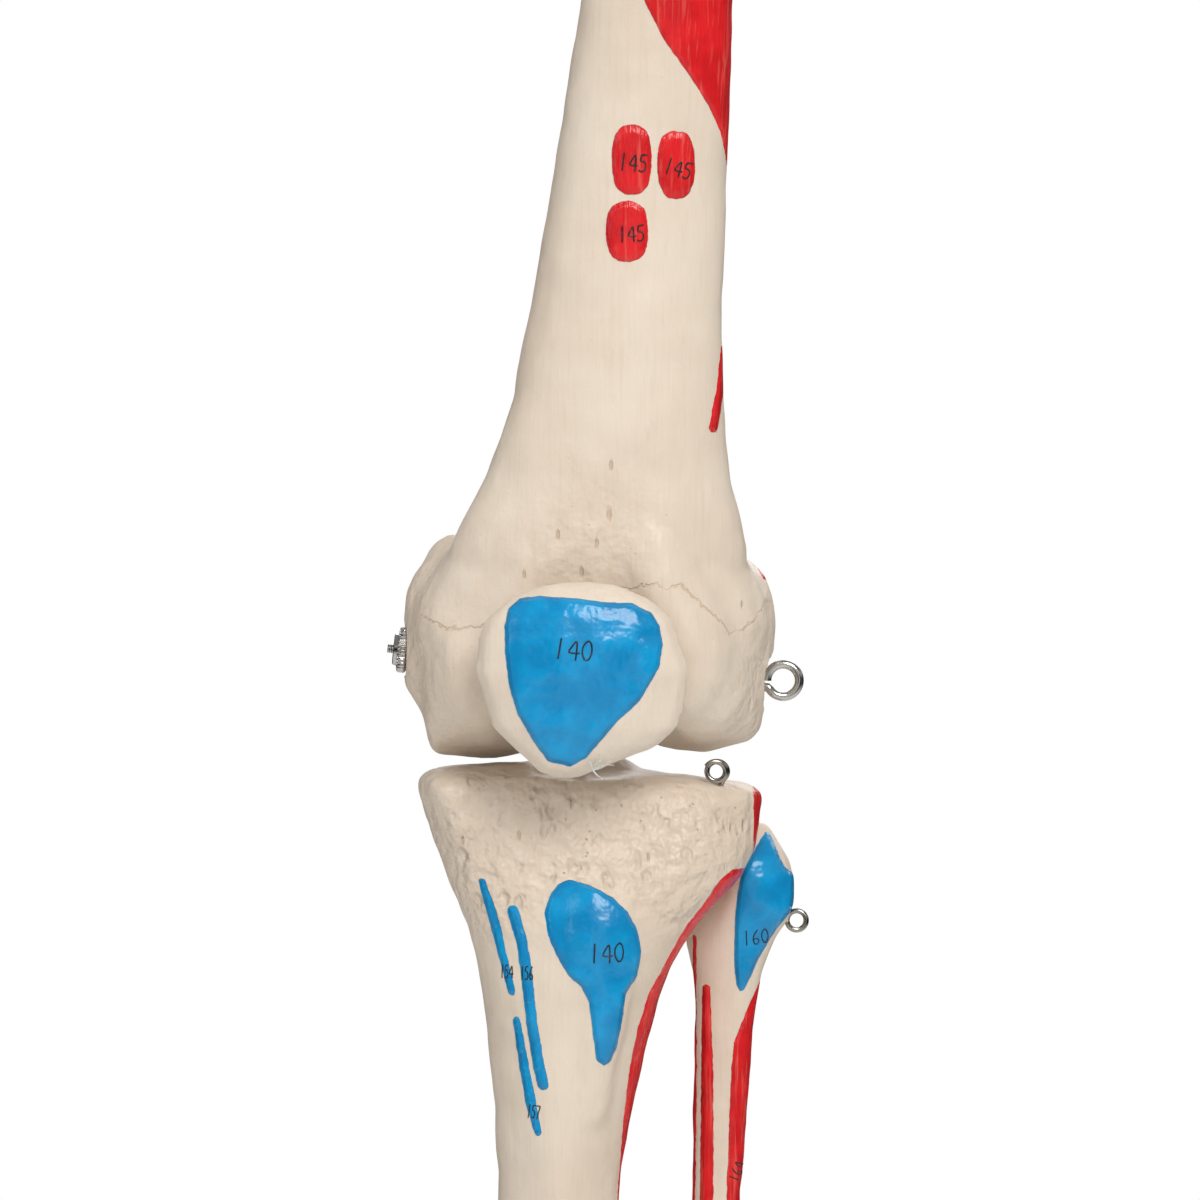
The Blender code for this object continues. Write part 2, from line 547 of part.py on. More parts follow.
# every joint surface is cut to follow its neighbour at the gap
TOUCHING = [
    (calcaneus, talus), (navicular, talus), (cuboid, calcaneus),
    (cuneiforms["medial"], navicular), (cuneiforms["intermediate"], navicular),
    (cuneiforms["lateral"], navicular), (cuboid, navicular), (calcaneus, navicular),
    (cuneiforms["intermediate"], cuneiforms["medial"]),
    (cuneiforms["lateral"], cuneiforms["intermediate"]), (cuboid, cuneiforms["lateral"]),
    (metatarsals[1], cuneiforms["medial"]), (metatarsals[2], cuneiforms["intermediate"]),
    (metatarsals[2], cuneiforms["medial"]), (metatarsals[2], cuneiforms["lateral"]),
    (metatarsals[3], cuneiforms["lateral"]), (metatarsals[4], cuboid),
    (metatarsals[4], cuneiforms["lateral"]), (metatarsals[5], cuboid),
    (metatarsals[2], metatarsals[1]), (metatarsals[3], metatarsals[2]),
    (metatarsals[4], metatarsals[3]), (metatarsals[5], metatarsals[4])]
for trimmed, kept in TOUCHING:
    clear_of(trimmed, kept)
for ray in RAYS:
    chain = [metatarsals[ray]] + [toes[key] for key in toes if key[0] == ray]
    for kept, trimmed in zip(chain, chain[1:]):
        clear_of(trimmed, kept)

# the mortise of the ankle: the dome turns under the tibia, between the two malleoli
mortise = rod("mortise", (ax - TROCHLEA_HALF - 0.5, ay, az), (ax + TROCHLEA_HALF + 0.5, ay, az),
              TROCHLEA_R + 0.6, sides=48)
for holed in (tibia, fibula):
    boolean(holed, mortise)
clear_of(tibia, fibula)

# ankle axle with its nut
lathe("ankle_axle", [
    (0, 0), (3.2, 0), (3.6, 0.5), (3.6, 2.0), (ANKLE_AXLE_R, 2.0),
    (ANKLE_AXLE_R, ANKLE_OUT - ANKLE_IN + 7.5), (0, ANKLE_OUT - ANKLE_IN + 7.5)],
    Matrix.Translation((ANKLE_OUT + 2.0, ay, az)) @ ring, STEEL, 24)
for holed in (tibia, fibula, talus):
    boolean(holed, rod(f"ankle_bore_{holed.name}", (60, ay, az), (-60, ay, az),
                       ANKLE_AXLE_R + FIT))
boolean(fibula, rod("ankle_head_seat", (ANKLE_OUT - 0.4, ay, az), (60, ay, az), 4.2))
boolean(tibia, rod("ankle_nut_seat", (ANKLE_IN + 2.0, ay, az), (-60, ay, az), 4.6))
ring_lathe("ankle_nut", [
    (ANKLE_AXLE_R + FIT, 0), (3.8, 0), (3.8, 2.6), (3.2, 3.2), (ANKLE_AXLE_R + FIT, 3.2)],
    Matrix.Translation((ANKLE_IN + 1.6, ay, az)) @ ring, STEEL, BORE_SIDES, knurl=0.35)

# one wire threads each toe, its metatarsal and the tarsal bone behind it
RAY_STARTS = {1: ((-22, -53, -408), (-29, -68, -417)), 2: ((-17, -53, -405), (-16.3, -66, -405)),
              3: ((-11, -53, -405), (-4, -68, -410)), 4: ((9, -45, -428), (9.3, -60, -428)),
              5: ((13, -45, -429), (17, -60, -431))}
for ray, (base, head, joints, girth) in RAYS.items():
    start, bend = RAY_STARTS[ray]
    tip = Vector(joints[-1])
    tip = tip.lerp(Vector(joints[-2]), 0.15)
    path = [Vector(start), Vector(bend), Vector(base[:3]),
            Vector(base[:3]).lerp(Vector(head[:3]), 0.5) + Vector((0, 0, 1.5)),
            Vector(head[:3])] + [Vector(j) for j in joints[1:-1]] + [tip]
    wire(f"ray_wire_{ray}", path, RAY_WIRE_R, STEEL, 6)
    onward = path[-1] + (path[-1] - path[-2]).normalized() * 0.5
    back = path[0] - (path[1] - path[0]).normalized() * 0.5
    bore = wire(f"ray_bore_{ray}", [back, *path[1:-1], onward], RAY_WIRE_R + WIRE_FIT, sides=6)
    behind = {1: "medial", 2: "intermediate", 3: "lateral"}
    holed = [metatarsals[ray]] + [toes[key] for key in toes if key[0] == ray]
    holed += [navicular, cuneiforms[behind[ray]]] if ray in behind else [cuboid]
    for each in holed:
        boolean(each, bore)

PINS = {
    "heel_screw": ((-4, 4, -436), (-7, 2, -402), (calcaneus, talus)),
    "talus_navicular_pin": ((-16, -28, -402), (-19, -52, -409), (talus, navicular)),
    "calcaneus_cuboid_pin": ((3, -14, -431), (9, -44, -434), (calcaneus, cuboid)),
    "midfoot_cross_wire": ((-31, -70, -412), (10, -54, -425),
                           (*cuneiforms.values(), cuboid))}
for name, (start, end, held) in PINS.items():
    start, end = Vector(start), Vector(end)
    step = (end - start).normalized()
    thin = name == "midfoot_cross_wire"
    r = RAY_WIRE_R if thin else PIN_R
    rod(name, start, end, r, STEEL, 12)
    bore = rod(name + "_bore", start - step * (60 if name == "heel_screw" else 0.5),
               end + step * 0.5, r + WIRE_FIT, sides=12)
    for each in held:
        boolean(each, bore)

# ---- hip --------------------------------------------------------------------------------
hx, hy, hz = HEAD_CENTRE
stud_root = hx - HEAD_R + HIP_STUD_DEPTH
rod("hip_stud", (HIP_STUD_END, hy, hz), (stud_root, hy, hz), HIP_STUD_R, STEEL, 24)
boolean(femur, rod("hip_stud_bore", (HIP_STUD_END, hy, hz), (stud_root + 0.5, hy, hz),
                   HIP_STUD_R + WIRE_FIT))
to_hip = Matrix.Translation((WASHER_X, hy, hz)) @ ring
ring_lathe("hip_washer", [
    (HIP_STUD_R + 0.15, 0), (WASHER_R, 0), (WASHER_R, WASHER_T), (HIP_STUD_R + 0.15, WASHER_T)],
    to_hip, STEEL, BORE_SIDES)
nut = ring_lathe("hip_wing_nut", [
    (HIP_STUD_R + FIT, 1.8), (5.6, 1.8), (5.0, 8.2), (HIP_STUD_R + FIT, 8.2)],
    to_hip, STEEL, BORE_SIDES)
for side in (-1, 1):
    wing = bmesh.new()
    add_hull(wing, [(WASHER_X - 4, hy + side * 5.4, hz, 1.7, 1.4, 2.6),
                    (WASHER_X - 8.6, hy + side * 12.5, hz, 1.1, 3.2, 4.2)])
    boolean(nut, mesh_object(f"wing_{side}", wing), "UNION")

# ---- joints' empties, and the world frame -----------------------------------------------
root = bpy.data.objects.new("left_leg_root", None)
root.scale = (MM, MM, MM)
root.location = -MM * Vector((HIP_STUD_END, hy, hz))
parts.objects.link(root)


def pivot(name, at, parent, turn=None):
    made = bpy.data.objects.new(name, None)
    parts.objects.link(made)
    made.parent = parent
    made["leg_frame"] = tuple(at)
    made.matrix_local = Matrix.Translation(Vector(at) - Vector(parent.get("leg_frame", (0, 0, 0))))
    return made


shank = pivot("knee_hinge", KNEE, root)
foot = pivot("ankle_hinge", ANKLE, shank)
axle_pivot = pivot("knee_axle_turn", KNEE, root)
nut_pivot = pivot("knee_nut_turn", nut_inner, axle_pivot)
ankle_nut_pivot = pivot("ankle_nut_turn", (ANKLE_IN, ay, az), shank)
wing_pivot = pivot("wing_nut_turn", (WASHER_X, hy, hz), root)
OWN_PIVOT = {"knee_axle": axle_pivot, "knee_nut": nut_pivot, "ankle_nut": ankle_nut_pivot,
             "hip_wing_nut": wing_pivot}
IN_SHANK = {"tibia", "fibula", "knee_tongue", "tongue_pin_upper", "tongue_pin_lower",
            "tibiofibular_tie_wire", "tibiofibular_screw", "ankle_axle"}
IN_THIGH = {"femur", "patella", "patella_stud", "hip_stud", "hip_washer",
            "knee_spacer_medial", "knee_spacer_lateral"}
for obj in list(parts.objects) + list(cutters.objects):
    if obj.type != "MESH":
        continue
    if obj.name in OWN_PIVOT:
        holder = OWN_PIVOT[obj.name]
    elif obj.name in IN_SHANK:
        holder = shank
    elif obj.name in IN_THIGH or obj.hide_render:
        holder = root
    else:
        holder = foot
    at = Vector(holder.get("leg_frame", (0, 0, 0)))
    obj.data.transform(Matrix.Translation(-at))
    obj.parent = holder
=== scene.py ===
"""Looks for the left leg of a classroom skeleton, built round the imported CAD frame."""

import json
from math import cos, pi, radians, sin

import bmesh
import bpy
import numpy as np
from mathutils import Matrix, Vector, noise


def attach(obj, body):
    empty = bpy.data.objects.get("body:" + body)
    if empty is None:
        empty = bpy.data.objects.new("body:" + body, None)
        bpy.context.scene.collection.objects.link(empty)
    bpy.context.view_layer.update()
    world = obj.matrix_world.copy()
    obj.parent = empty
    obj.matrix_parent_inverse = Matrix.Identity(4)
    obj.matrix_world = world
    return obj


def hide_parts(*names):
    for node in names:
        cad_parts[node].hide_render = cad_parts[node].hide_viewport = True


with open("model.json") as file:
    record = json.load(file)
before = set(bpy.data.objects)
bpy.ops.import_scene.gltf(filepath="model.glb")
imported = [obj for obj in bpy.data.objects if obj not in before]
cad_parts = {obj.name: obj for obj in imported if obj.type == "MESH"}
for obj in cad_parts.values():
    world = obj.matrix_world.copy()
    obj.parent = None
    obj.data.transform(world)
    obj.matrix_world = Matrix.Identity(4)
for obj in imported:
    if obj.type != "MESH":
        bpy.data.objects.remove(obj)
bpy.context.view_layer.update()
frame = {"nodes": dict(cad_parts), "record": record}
MM = 0.001
KNEE = np.array([66.0, 24.0, -408.0])       # knee centre in the row frame, mm
NODES = frame["nodes"]
BODY_OF = {n: b for b, ns in frame["record"]["behaviour"]["bodies"].items() for n in ns}


# ---- node helpers -----------------------------------------------------------------------
class Tree:
    """Shorthand for building a material's nodes."""

    def __init__(self, name):
        self.mat = bpy.data.materials.new(name)
        self.mat.use_nodes = True
        self.tree = self.mat.node_tree
        self.out = self.tree.nodes["Principled BSDF"]
        self.place = None

    def add(self, kind, inputs=(), **settings):
        node = self.tree.nodes.new(kind)
        for key, value in settings.items():
            setattr(node, key, value)
        for key, value in dict(inputs).items():
            if value is None:
                continue
            if hasattr(value, "is_output"):
                self.tree.links.new(value, node.inputs[key])
            else:
                node.inputs[key].default_value = value
        return node

    def coords(self):
        if self.place is None:
            self.place = self.add("ShaderNodeTexCoord").outputs["Object"]
        return self.place

    def scaled(self, x, y, z):
        return self.add("ShaderNodeMapping", {"Vector": self.coords(), "Scale": (x, y, z)}
                        ).outputs["Vector"]

    def noise(self, scale, detail=2.0, rough=0.5, where=None):
        return self.add("ShaderNodeTexNoise", {"Vector": where or self.coords(), "Scale": scale,
                        "Detail": detail, "Roughness": rough}).outputs["Fac"]

    def voronoi(self, scale, where=None):
        return self.add("ShaderNodeTexVoronoi", {"Vector": where or self.coords(),
                        "Scale": scale}).outputs["Distance"]

    def math(self, kind, a, b=None):
        node = self.add("ShaderNodeMath", operation=kind)
        for slot, value in zip(node.inputs, (a, b)):
            if value is None:
                continue
            if hasattr(value, "is_output"):
                self.tree.links.new(value, slot)
            else:
                slot.default_value = value
        return node.outputs[0]

    def ramp(self, value, low, high, out_low=0.0, out_high=1.0):
        return self.add("ShaderNodeMapRange", {"Value": value, "From Min": low,
                        "From Max": high, "To Min": out_low, "To Max": out_high},
                        interpolation_type="SMOOTHSTEP").outputs["Result"]

    def mix(self, factor, a, b):
        node = self.add("ShaderNodeMix", data_type="RGBA")
        for slot, value in ((node.inputs["Factor"], factor), (node.inputs[6], a),
                            (node.inputs[7], b)):
            if hasattr(value, "is_output"):
                self.tree.links.new(value, slot)
            elif isinstance(value, tuple):
                slot.default_value = (*value, 1)
            else:
                slot.default_value = value
        return node.outputs[2]

    def attribute(self, name):
        return self.add("ShaderNodeAttribute", attribute_name=name,
                        attribute_type="GEOMETRY").outputs["Fac"]

    def set(self, **values):
        for key, value in values.items():
            slot = self.out.inputs[key.replace("_", " ")]
            if hasattr(value, "is_output"):
                self.tree.links.new(value, slot)
            elif isinstance(value, tuple):
                slot.default_value = (*value, 1)
            else:
                slot.default_value = value

    def bump(self, height):
        made = self.add("ShaderNodeBump", {"Height": height, "Distance": MM, "Strength": 1.0})
        self.tree.links.new(made.outputs[0], self.out.inputs["Normal"])


# the warm bone tone on the next line is painted shade, laid where the bone is rough
BONE_LIGHT, BONE_DARK, BONE_WARM_SHADE = (0.73, 0.635, 0.53), (0.67, 0.565, 0.46), (0.63, 0.50, 0.38)
STAIN, FURROW, GROWTH_LINE = (0.36, 0.20, 0.10), (0.44, 0.25, 0.12), (0.56, 0.32, 0.17)
BLUE, BLUE_LIGHT = (0.0008, 0.225, 0.50), (0.001, 0.30, 0.62)
# the last red on the next line is a painted highlight, pale streaks along the brush strokes
# the second red on the next line is painted shade, the red of its shaded side
RED, RED_SHADED, RED_BRUSH_HIGHLIGHT = (0.70, 0.014, 0.018), (0.56, 0.009, 0.013), (0.80, 0.16, 0.12)
# small furrows where vessels entered the bone: x, z (seen from the front), half width, mm
HOLES = [(4.6, 44.9, 0.42), (4.2, 34.1, 0.55), (-7.0, 29.7, 0.4), (-1.8, 21.4, 0.45),
         (-14.3, 20.9, 0.4), (1.5, 27.5, 0.4), (-38.5, 38.0, 0.3), (33.4, 14.5, 0.3),
         (-4.0, -29.4, 0.4), (-15.6, -36.2, 0.38), (12.8, -41.0, 0.3), (-28.0, -37.5, 0.35)]


def bone_material(name, painted, grain=1.0, holes=()):
    """Moulded bone: mottled, streaked and stained, with dents where the attribute "rough" is
    high, and painted shade there too, a darker and warmer tone; if painted, coats where the
    attributes "blue" and "red" are negative, the red with painted shade and a painted highlight."""
    t = Tree(name)
    broad = t.noise(28, 3, 0.55)
    mottle = t.noise(220, 4, 0.6)
    streaks = t.noise(1.0, 3, 0.6, t.scaled(1300, 1300, 55))
    fine = t.noise(1500, 2, 0.5)
    rough_shade_zone = t.attribute("rough")
    colour = t.mix(t.ramp(broad, 0.3, 0.7), BONE_LIGHT, BONE_DARK)
    # painted shade: the bone turns darker and warmer where the rough zones lie
    colour = t.mix(t.ramp(rough_shade_zone, 0.05, 0.9, 0, 0.34), colour, BONE_WARM_SHADE)
    colour = t.mix(t.ramp(mottle, 0.45, 0.8, 0, 0.35), colour, (0.76, 0.67, 0.57))
    colour = t.mix(t.ramp(streaks, 0.45, 0.78, 0, 0.22 * grain), colour, (0.55, 0.45, 0.34))
    # worm-like dents of rough bone, longer up and down, with stain held in the deepest
    bent = t.scaled(1, 1, 0.62)
    wander = t.add("ShaderNodeTexNoise", {"Vector": bent, "Scale": 230.0, "Detail": 2.0})
    shrink = t.add("ShaderNodeVectorMath", {"Scale": 0.0035}, operation="SCALE")
    t.tree.links.new(wander.outputs["Color"], shrink.inputs[0])
    place = t.add("ShaderNodeVectorMath", operation="ADD")
    t.tree.links.new(bent, place.inputs[0])
    t.tree.links.new(shrink.outputs[0], place.inputs[1])
    dent = t.ramp(t.voronoi(290, place.outputs[0]), 0.10, 0.46, 1, 0)
    few = t.ramp(t.noise(200, 1), 0.44, 0.60)
    dents = t.math("MULTIPLY", t.math("MULTIPLY", dent, few), t.ramp(rough_shade_zone, 0.15, 0.9))
    pore = t.ramp(t.voronoi(600), 0.05, 0.17, 1, 0)
    pores = t.math("MULTIPLY", pore, t.ramp(t.noise(330, 1), 0.56, 0.66))
    pores = t.math("MULTIPLY", pores, t.math("ADD", t.math("MULTIPLY", rough_shade_zone, 0.7), 0.10))
    stained = t.math("MAXIMUM", t.math("MULTIPLY", dents, 0.07), t.math("MULTIPLY", pores, 0.35))
    colour = t.mix(stained, colour, STAIN)
    height = t.math("MULTIPLY", streaks, 0.05 * grain)
    height = t.math("ADD", height, t.math("MULTIPLY", fine, 0.02))
    height = t.math("ADD", height, t.math("MULTIPLY", mottle, 0.12))
    knobbly = t.math("MULTIPLY", t.noise(270, 2, 0.45), t.math("MULTIPLY", rough_shade_zone, 2.0))
    height = t.math("ADD", height, knobbly)
    height = t.math("SUBTRACT", height, t.math("MULTIPLY", dents, 0.6))
    height = t.math("SUBTRACT", height, t.math("MULTIPLY", pores, 0.4))
    roughness = t.ramp(t.noise(90, 3), 0.3, 0.7, 0.36, 0.5)
    if holes:
        part = t.add("ShaderNodeSeparateXYZ", {"Vector": t.coords()})
        nearest = None
        uneven = t.math("MULTIPLY", t.math("SUBTRACT", t.noise(700, 2), 0.5), 0.9)
        for x, z, r in holes:
            spot = (x + KNEE[0]) * MM, (z + KNEE[2]) * MM
            dx = t.math("SUBTRACT", part.outputs[0], spot[0])
            dz = t.math("MULTIPLY", t.math("SUBTRACT", part.outputs[2], spot[1]), 0.3)
            away = t.math("SQRT", t.math("ADD", t.math("MULTIPLY", dx, dx),
                                         t.math("MULTIPLY", dz, dz)))
            away = t.math("DIVIDE", away, r * MM)
            nearest = away if nearest is None else t.math("MINIMUM", nearest, away)
        front = t.math("LESS_THAN", part.outputs[1], (KNEE[1] - 8) * MM)
        well = t.math("MULTIPLY", t.ramp(t.math("ADD", nearest, uneven), 0.35, 1.25, 1, 0), front)
        colour = t.mix(t.math("MULTIPLY", well, 0.4), colour, FURROW)
        height = t.math("SUBTRACT", height, t.math("MULTIPLY", well, 0.26))
    if painted:
        wavy = t.math("ADD", t.attribute("seam"),
                      t.math("MULTIPLY", t.math("SUBTRACT", t.noise(420, 3, 0.7), 0.5), 3.4))
        groove = t.ramp(t.math("ABSOLUTE", wavy), 0.05, 0.36, 1, 0)
        groove = t.math("MULTIPLY", groove, t.ramp(t.noise(210, 1), 0.30, 0.52, 0.25, 1))
        groove = t.math("MULTIPLY", groove, t.attribute("seam_on"))
        colour = t.mix(t.math("MULTIPLY", groove, 0.42), colour, GROWTH_LINE)
        height = t.math("SUBTRACT", height, t.math("MULTIPLY", groove, 0.16))
        ragged = t.math("MULTIPLY", t.math("SUBTRACT", t.noise(520, 2), 0.5), 0.5)
        lumpy = t.noise(150, 3, 0.5)
        brush = t.noise(1.0, 3, 0.6, t.scaled(900, 900, 60))
        for paint_name, base, light in (("blue", BLUE, BLUE_LIGHT), ("red", RED, RED_SHADED)):
            depth = t.math("ADD", t.attribute(paint_name), ragged)
            mask = t.ramp(depth, -0.08, 0.04, 1, 0)
            # for red the second tone is painted shade, laid in patches over the lumps of the coat
            coat = t.mix(t.ramp(lumpy, 0.35, 0.68), base, light)
            # painted highlight: pale red streaks along the brush strokes
            if paint_name == "red":
                coat = t.mix(t.ramp(brush, 0.52, 0.72, 0, 0.5), coat, RED_BRUSH_HIGHLIGHT)
            thick = 0.75 if paint_name == "blue" else 0.3
            level = t.math("ADD", t.math("MULTIPLY", lumpy, thick),
                           t.ramp(depth, -1.1, 0.05, 0.42, 0))
            level = t.math("ADD", level, t.math("MULTIPLY", brush,
                                                0.03 if paint_name == "blue" else 0.4))
            colour = t.mix(mask, colour, coat)
            height = t.add("ShaderNodeMix", {"Factor": mask, "A": height, "B": level}
                           ).outputs[0]
            roughness = t.add("ShaderNodeMix", {"Factor": mask, "A": roughness, "B": 0.22}
                              ).outputs[0]
    t.set(Base_Color=colour, Roughness=roughness, IOR=1.45)
    t.out.inputs["Subsurface Weight"].default_value = 0.08
    t.out.inputs["Subsurface Radius"].default_value = (0.006, 0.0035, 0.002)
    t.bump(height)
    return t.mat


def steel_material(name, colour=(0.60, 0.585, 0.56), rough=0.16, dark=(0.22, 0.19, 0.15)):
    t = Tree(name)
    scratch = t.noise(1.0, 3, 0.6, t.scaled(2600, 2600, 700))
    cloud = t.noise(260, 3, 0.5)
    tarnish = t.ramp(t.noise(620, 4, 0.7), 0.60, 0.85, 0, 0.30)
    base = t.mix(t.ramp(cloud, 0.3, 0.7), colour, tuple(0.84 * c for c in colour))
    base = t.mix(tarnish, base, dark)
    rough_map = t.math("ADD", t.ramp(scratch, 0.3, 0.7, rough - 0.04, rough + 0.08),
                       t.math("MULTIPLY", tarnish, 0.2))
    t.set(Base_Color=base, Roughness=rough_map, Metallic=1.0)
    t.bump(t.math("MULTIPLY", scratch, 0.008))
    return t.mat


def ink_material():
    t = Tree("black_ink")
    t.set(Base_Color=t.mix(t.ramp(t.noise(900, 2), 0.4, 0.7), (0.008, 0.008, 0.012),
                           (0.035, 0.033, 0.04)),
          Roughness=t.ramp(t.noise(500, 2), 0.3, 0.7, 0.4, 0.6))
    t.bump(t.math("MULTIPLY", t.noise(2500, 2), 0.02))
    return t.mat


def nylon_material():
    t = Tree("clear_nylon")
    t.set(Base_Color=t.mix(t.noise(700, 2), (0.86, 0.86, 0.84), (0.74, 0.73, 0.70)),
          Roughness=t.ramp(t.noise(900, 2), 0.3, 0.7, 0.22, 0.36))
    t.out.inputs["Transmission Weight"].default_value = 0.4
    t.bump(t.math("MULTIPLY", t.noise(1800, 2), 0.01))
    return t.mat


PAINTED = bone_material("bone_painted", True)
MARKED = bone_material("bone_marked", True, 1.0, HOLES)
PLAIN = bone_material("bone_plain", False, 0.6)
NICKEL = steel_material("nickel_plate")
ZINC = steel_material("zinc_steel", (0.50, 0.51, 0.52), 0.26)
WIRE = steel_material("dark_wire", (0.40, 0.37, 0.33), 0.15, (0.10, 0.08, 0.06))
INK, NYLON = ink_material(), nylon_material()


# ---- bone skins -------------------------------------------------------------------------
def relax(points, edges, rounds, push=0.5, pull=-0.53):
    """Smooths without shrinking: a step in, then a slightly larger step out."""
    count = len(points)
    a, b = edges[:, 0], edges[:, 1]
    degree = np.maximum(np.bincount(edges.ravel(), minlength=count), 1)[:, None]
    for _ in range(rounds):
        for step in (push, pull):
            total = np.stack([np.bincount(a, points[b, k], count)
                              + np.bincount(b, points[a, k], count) for k in range(3)], 1)
            points = points + step * (total / degree - points)
    return points


def ripple(points, size, amount, seed):
    """Smooth random height in millimetres at each point."""
    shift = Vector((seed * 7.3, seed * 3.1, seed * 5.7))
    return amount * np.array([noise.noise(Vector(p) / size + shift) for p in points.tolist()])


def skin(node, voxel, rounds, waves=()):
    """A fine, smooth copy of a CAD bone; returns the object and its points in knee mm."""
    source = NODES[node]
    copy = bpy.data.objects.new(node + "_source", source.data.copy())
    bpy.context.scene.collection.objects.link(copy)
    weld = copy.modifiers.new("weld", "WELD")
    weld.merge_threshold = 0.00001
    step = copy.modifiers.new("fuse", "REMESH")
    step.mode = "VOXEL"
    step.voxel_size = voxel * MM
    graph = bpy.context.evaluated_depsgraph_get()
    mesh = bpy.data.meshes.new_from_object(copy.evaluated_get(graph))
    bpy.data.objects.remove(copy)
    n = len(mesh.vertices)
    points = np.empty(n * 3, np.float32)
    mesh.vertices.foreach_get("co", points)
    points = points.reshape(-1, 3).astype(float) * 1000 - KNEE
    edges = np.empty(len(mesh.edges) * 2, np.int32)
    mesh.edges.foreach_get("vertices", edges)
    edges = edges.reshape(-1, 2)
    points = relax(points, edges, rounds)
    mesh.vertices.foreach_set("co", ((points + KNEE) * MM).astype(np.float32).ravel())
    mesh.update()
    normals = np.empty(n * 3, np.float32)
    mesh.vertex_normals.foreach_get("vector", normals)
    normals = normals.reshape(-1, 3).astype(float)
    height = np.zeros(n)
    for size, amount, seed in waves:
        height += ripple(points, size, amount, seed)
    points = points + normals * height[:, None]
    made = bpy.data.objects.new(node + "_skin", mesh)
    bpy.context.scene.collection.objects.link(made)
    mesh.shade_smooth()
    return made, points, normals


def settle(made, points, node, attributes, material):
    """Writes the points and attributes to a skin and puts it in its CAD bone's place."""
    mesh = made.data
    mesh.vertices.foreach_set("co", ((points + KNEE) * MM).astype(np.float32).ravel())
    for name, values in attributes.items():
        field = mesh.attributes.new(name, "FLOAT", "POINT")
        field.data.foreach_set("value", np.asarray(values, np.float32))
    mesh.materials.clear()
    mesh.materials.append(material)
    mesh.update()
    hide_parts(node)
    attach(made, BODY_OF[node])
    return made


# ---- painted areas ----------------------------------------------------------------------
def polygon_depth(x, z, corners):
    """Signed distance to a closed outline, negative inside."""
    corners = np.asarray(corners, float)
    best = np.full(len(x), 1e9)
    inside = np.zeros(len(x), bool)
    for (ax, az), (bx, bz) in zip(corners, np.roll(corners, -1, 0)):
        dx, dz = bx - ax, bz - az
        t = np.clip(((x - ax) * dx + (z - az) * dz) / (dx * dx + dz * dz + 1e-12), 0, 1)
        best = np.minimum(best, np.hypot(x - ax - t * dx, z - az - t * dz))
        if az != bz:
            cross = ((az > z) != (bz > z)) & (x < dx * (z - az) / dz + ax)
            inside ^= cross
    return np.where(inside, -best, best)


def line_depth(x, z, corners, half):
    """Signed distance to a line of the given half width; half can change along it."""
    best = np.full(len(x), 1e9)
    halves = half if isinstance(half, (list, tuple)) else [half] * len(corners)
    for (ax, az), (bx, bz), ha, hb in zip(corners, corners[1:], halves, halves[1:]):
        dx, dz = bx - ax, bz - az
        t = np.clip(((x - ax) * dx + (z - az) * dz) / (dx * dx + dz * dz + 1e-12), 0, 1)
        best = np.minimum(best, np.hypot(x - ax - t * dx, z - az - t * dz) - ha - (hb - ha) * t)
    return best


def oval_depth(x, z, cx, cz, rx, rz, power=2.6):
    reach = (np.abs((x - cx) / rx) ** power + np.abs((z - cz) / rz) ** power) ** (1 / power)
    return (reach - 1) * min(rx, rz)


# side: the two axes of its outline, the axis that faces it, and the sign towards it
VIEWS = {"front": (0, 2, 1, -1), "back": (0, 2, 1, 1), "lateral": (1, 2, 0, 1),
         "medial": (1, 2, 0, -1)}
UNPAINTED = 9.0                             # a distance beyond every painted edge, mm


def paint(points, normals, patches):
    """Signed distance to the nearest patch: (side it is laid on from, how far round it wraps,
    kind, shape). A wrap of 0.1 stops at the outline seen from that side, -0.5 goes past it."""
    depth = np.full(len(points), UNPAINTED)
    for view, wrap, kind, *shape in patches:
        u, v, away, sign = VIEWS[view]
        chosen = normals[:, away] * sign > wrap
        found = {"outline": polygon_depth, "line": line_depth,
                 "oval": oval_depth}[kind](points[chosen, u], points[chosen, v], *shape)
        depth[chosen] = np.minimum(depth[chosen], found)
    return np.clip(depth, -UNPAINTED, UNPAINTED)


PATELLA_BLUE = [
    (-15.2, 15.8), (-10.6, 16.3), (-3.7, 15.8), (2.6, 15.0), (9.0, 14.7), (13.2, 12.8),
    (15.2, 9.7), (15.8, 5.7), (15.0, 0.7), (11.0, -6.2), (5.5, -11.4), (-0.9, -18.9),
    (-4.2, -20.7), (-9.2, -19.6), (-12.1, -15.4), (-15.6, -9.5), (-17.4, -3.7), (-18.3, 3.7),
    (-18.5, 9.7), (-17.6, 13.4)]
TUBEROSITY_BLUE = [
    (-4.8, -45.8), (0.2, -47.1), (4.8, -49.7), (8.1, -53), (10.3, -57), (11.2, -62),
    (10.3, -67.1), (7.9, -70.6), (7.0, -77.2), (5.9, -82.7), (4.4, -86), (3.1, -86.7),
    (1.3, -85.4), (0.7, -79.9), (-0.2, -72.6), (-1.8, -69.3), (-4.8, -66.7), (-7.5, -62),
    (-9.2, -58.1), (-9.9, -53), (-8.8, -49.3), (-7, -46.9)]
FIBULA_BLUE = [
    (39.4, -36.6), (38.2, -38.2), (35.6, -42.5), (33.6, -46.5), (32.8, -50.5), (32.5, -54.5),
    (32.3, -58.5), (32.2, -63), (32.3, -67), (32.7, -70.4), (33.4, -72.3), (34.4, -72),
    (35.3, -70.2), (36.6, -67.2), (38.1, -64.2), (40, -61), (42.2, -57.8), (44.6, -55),
    (47, -53), (50, -51.5), (50, -46.5), (46.6, -46), (44.6, -45.3), (43.2, -43.8), (42.1, -41.2),
    (41.2, -38.8), (40.4, -37)]
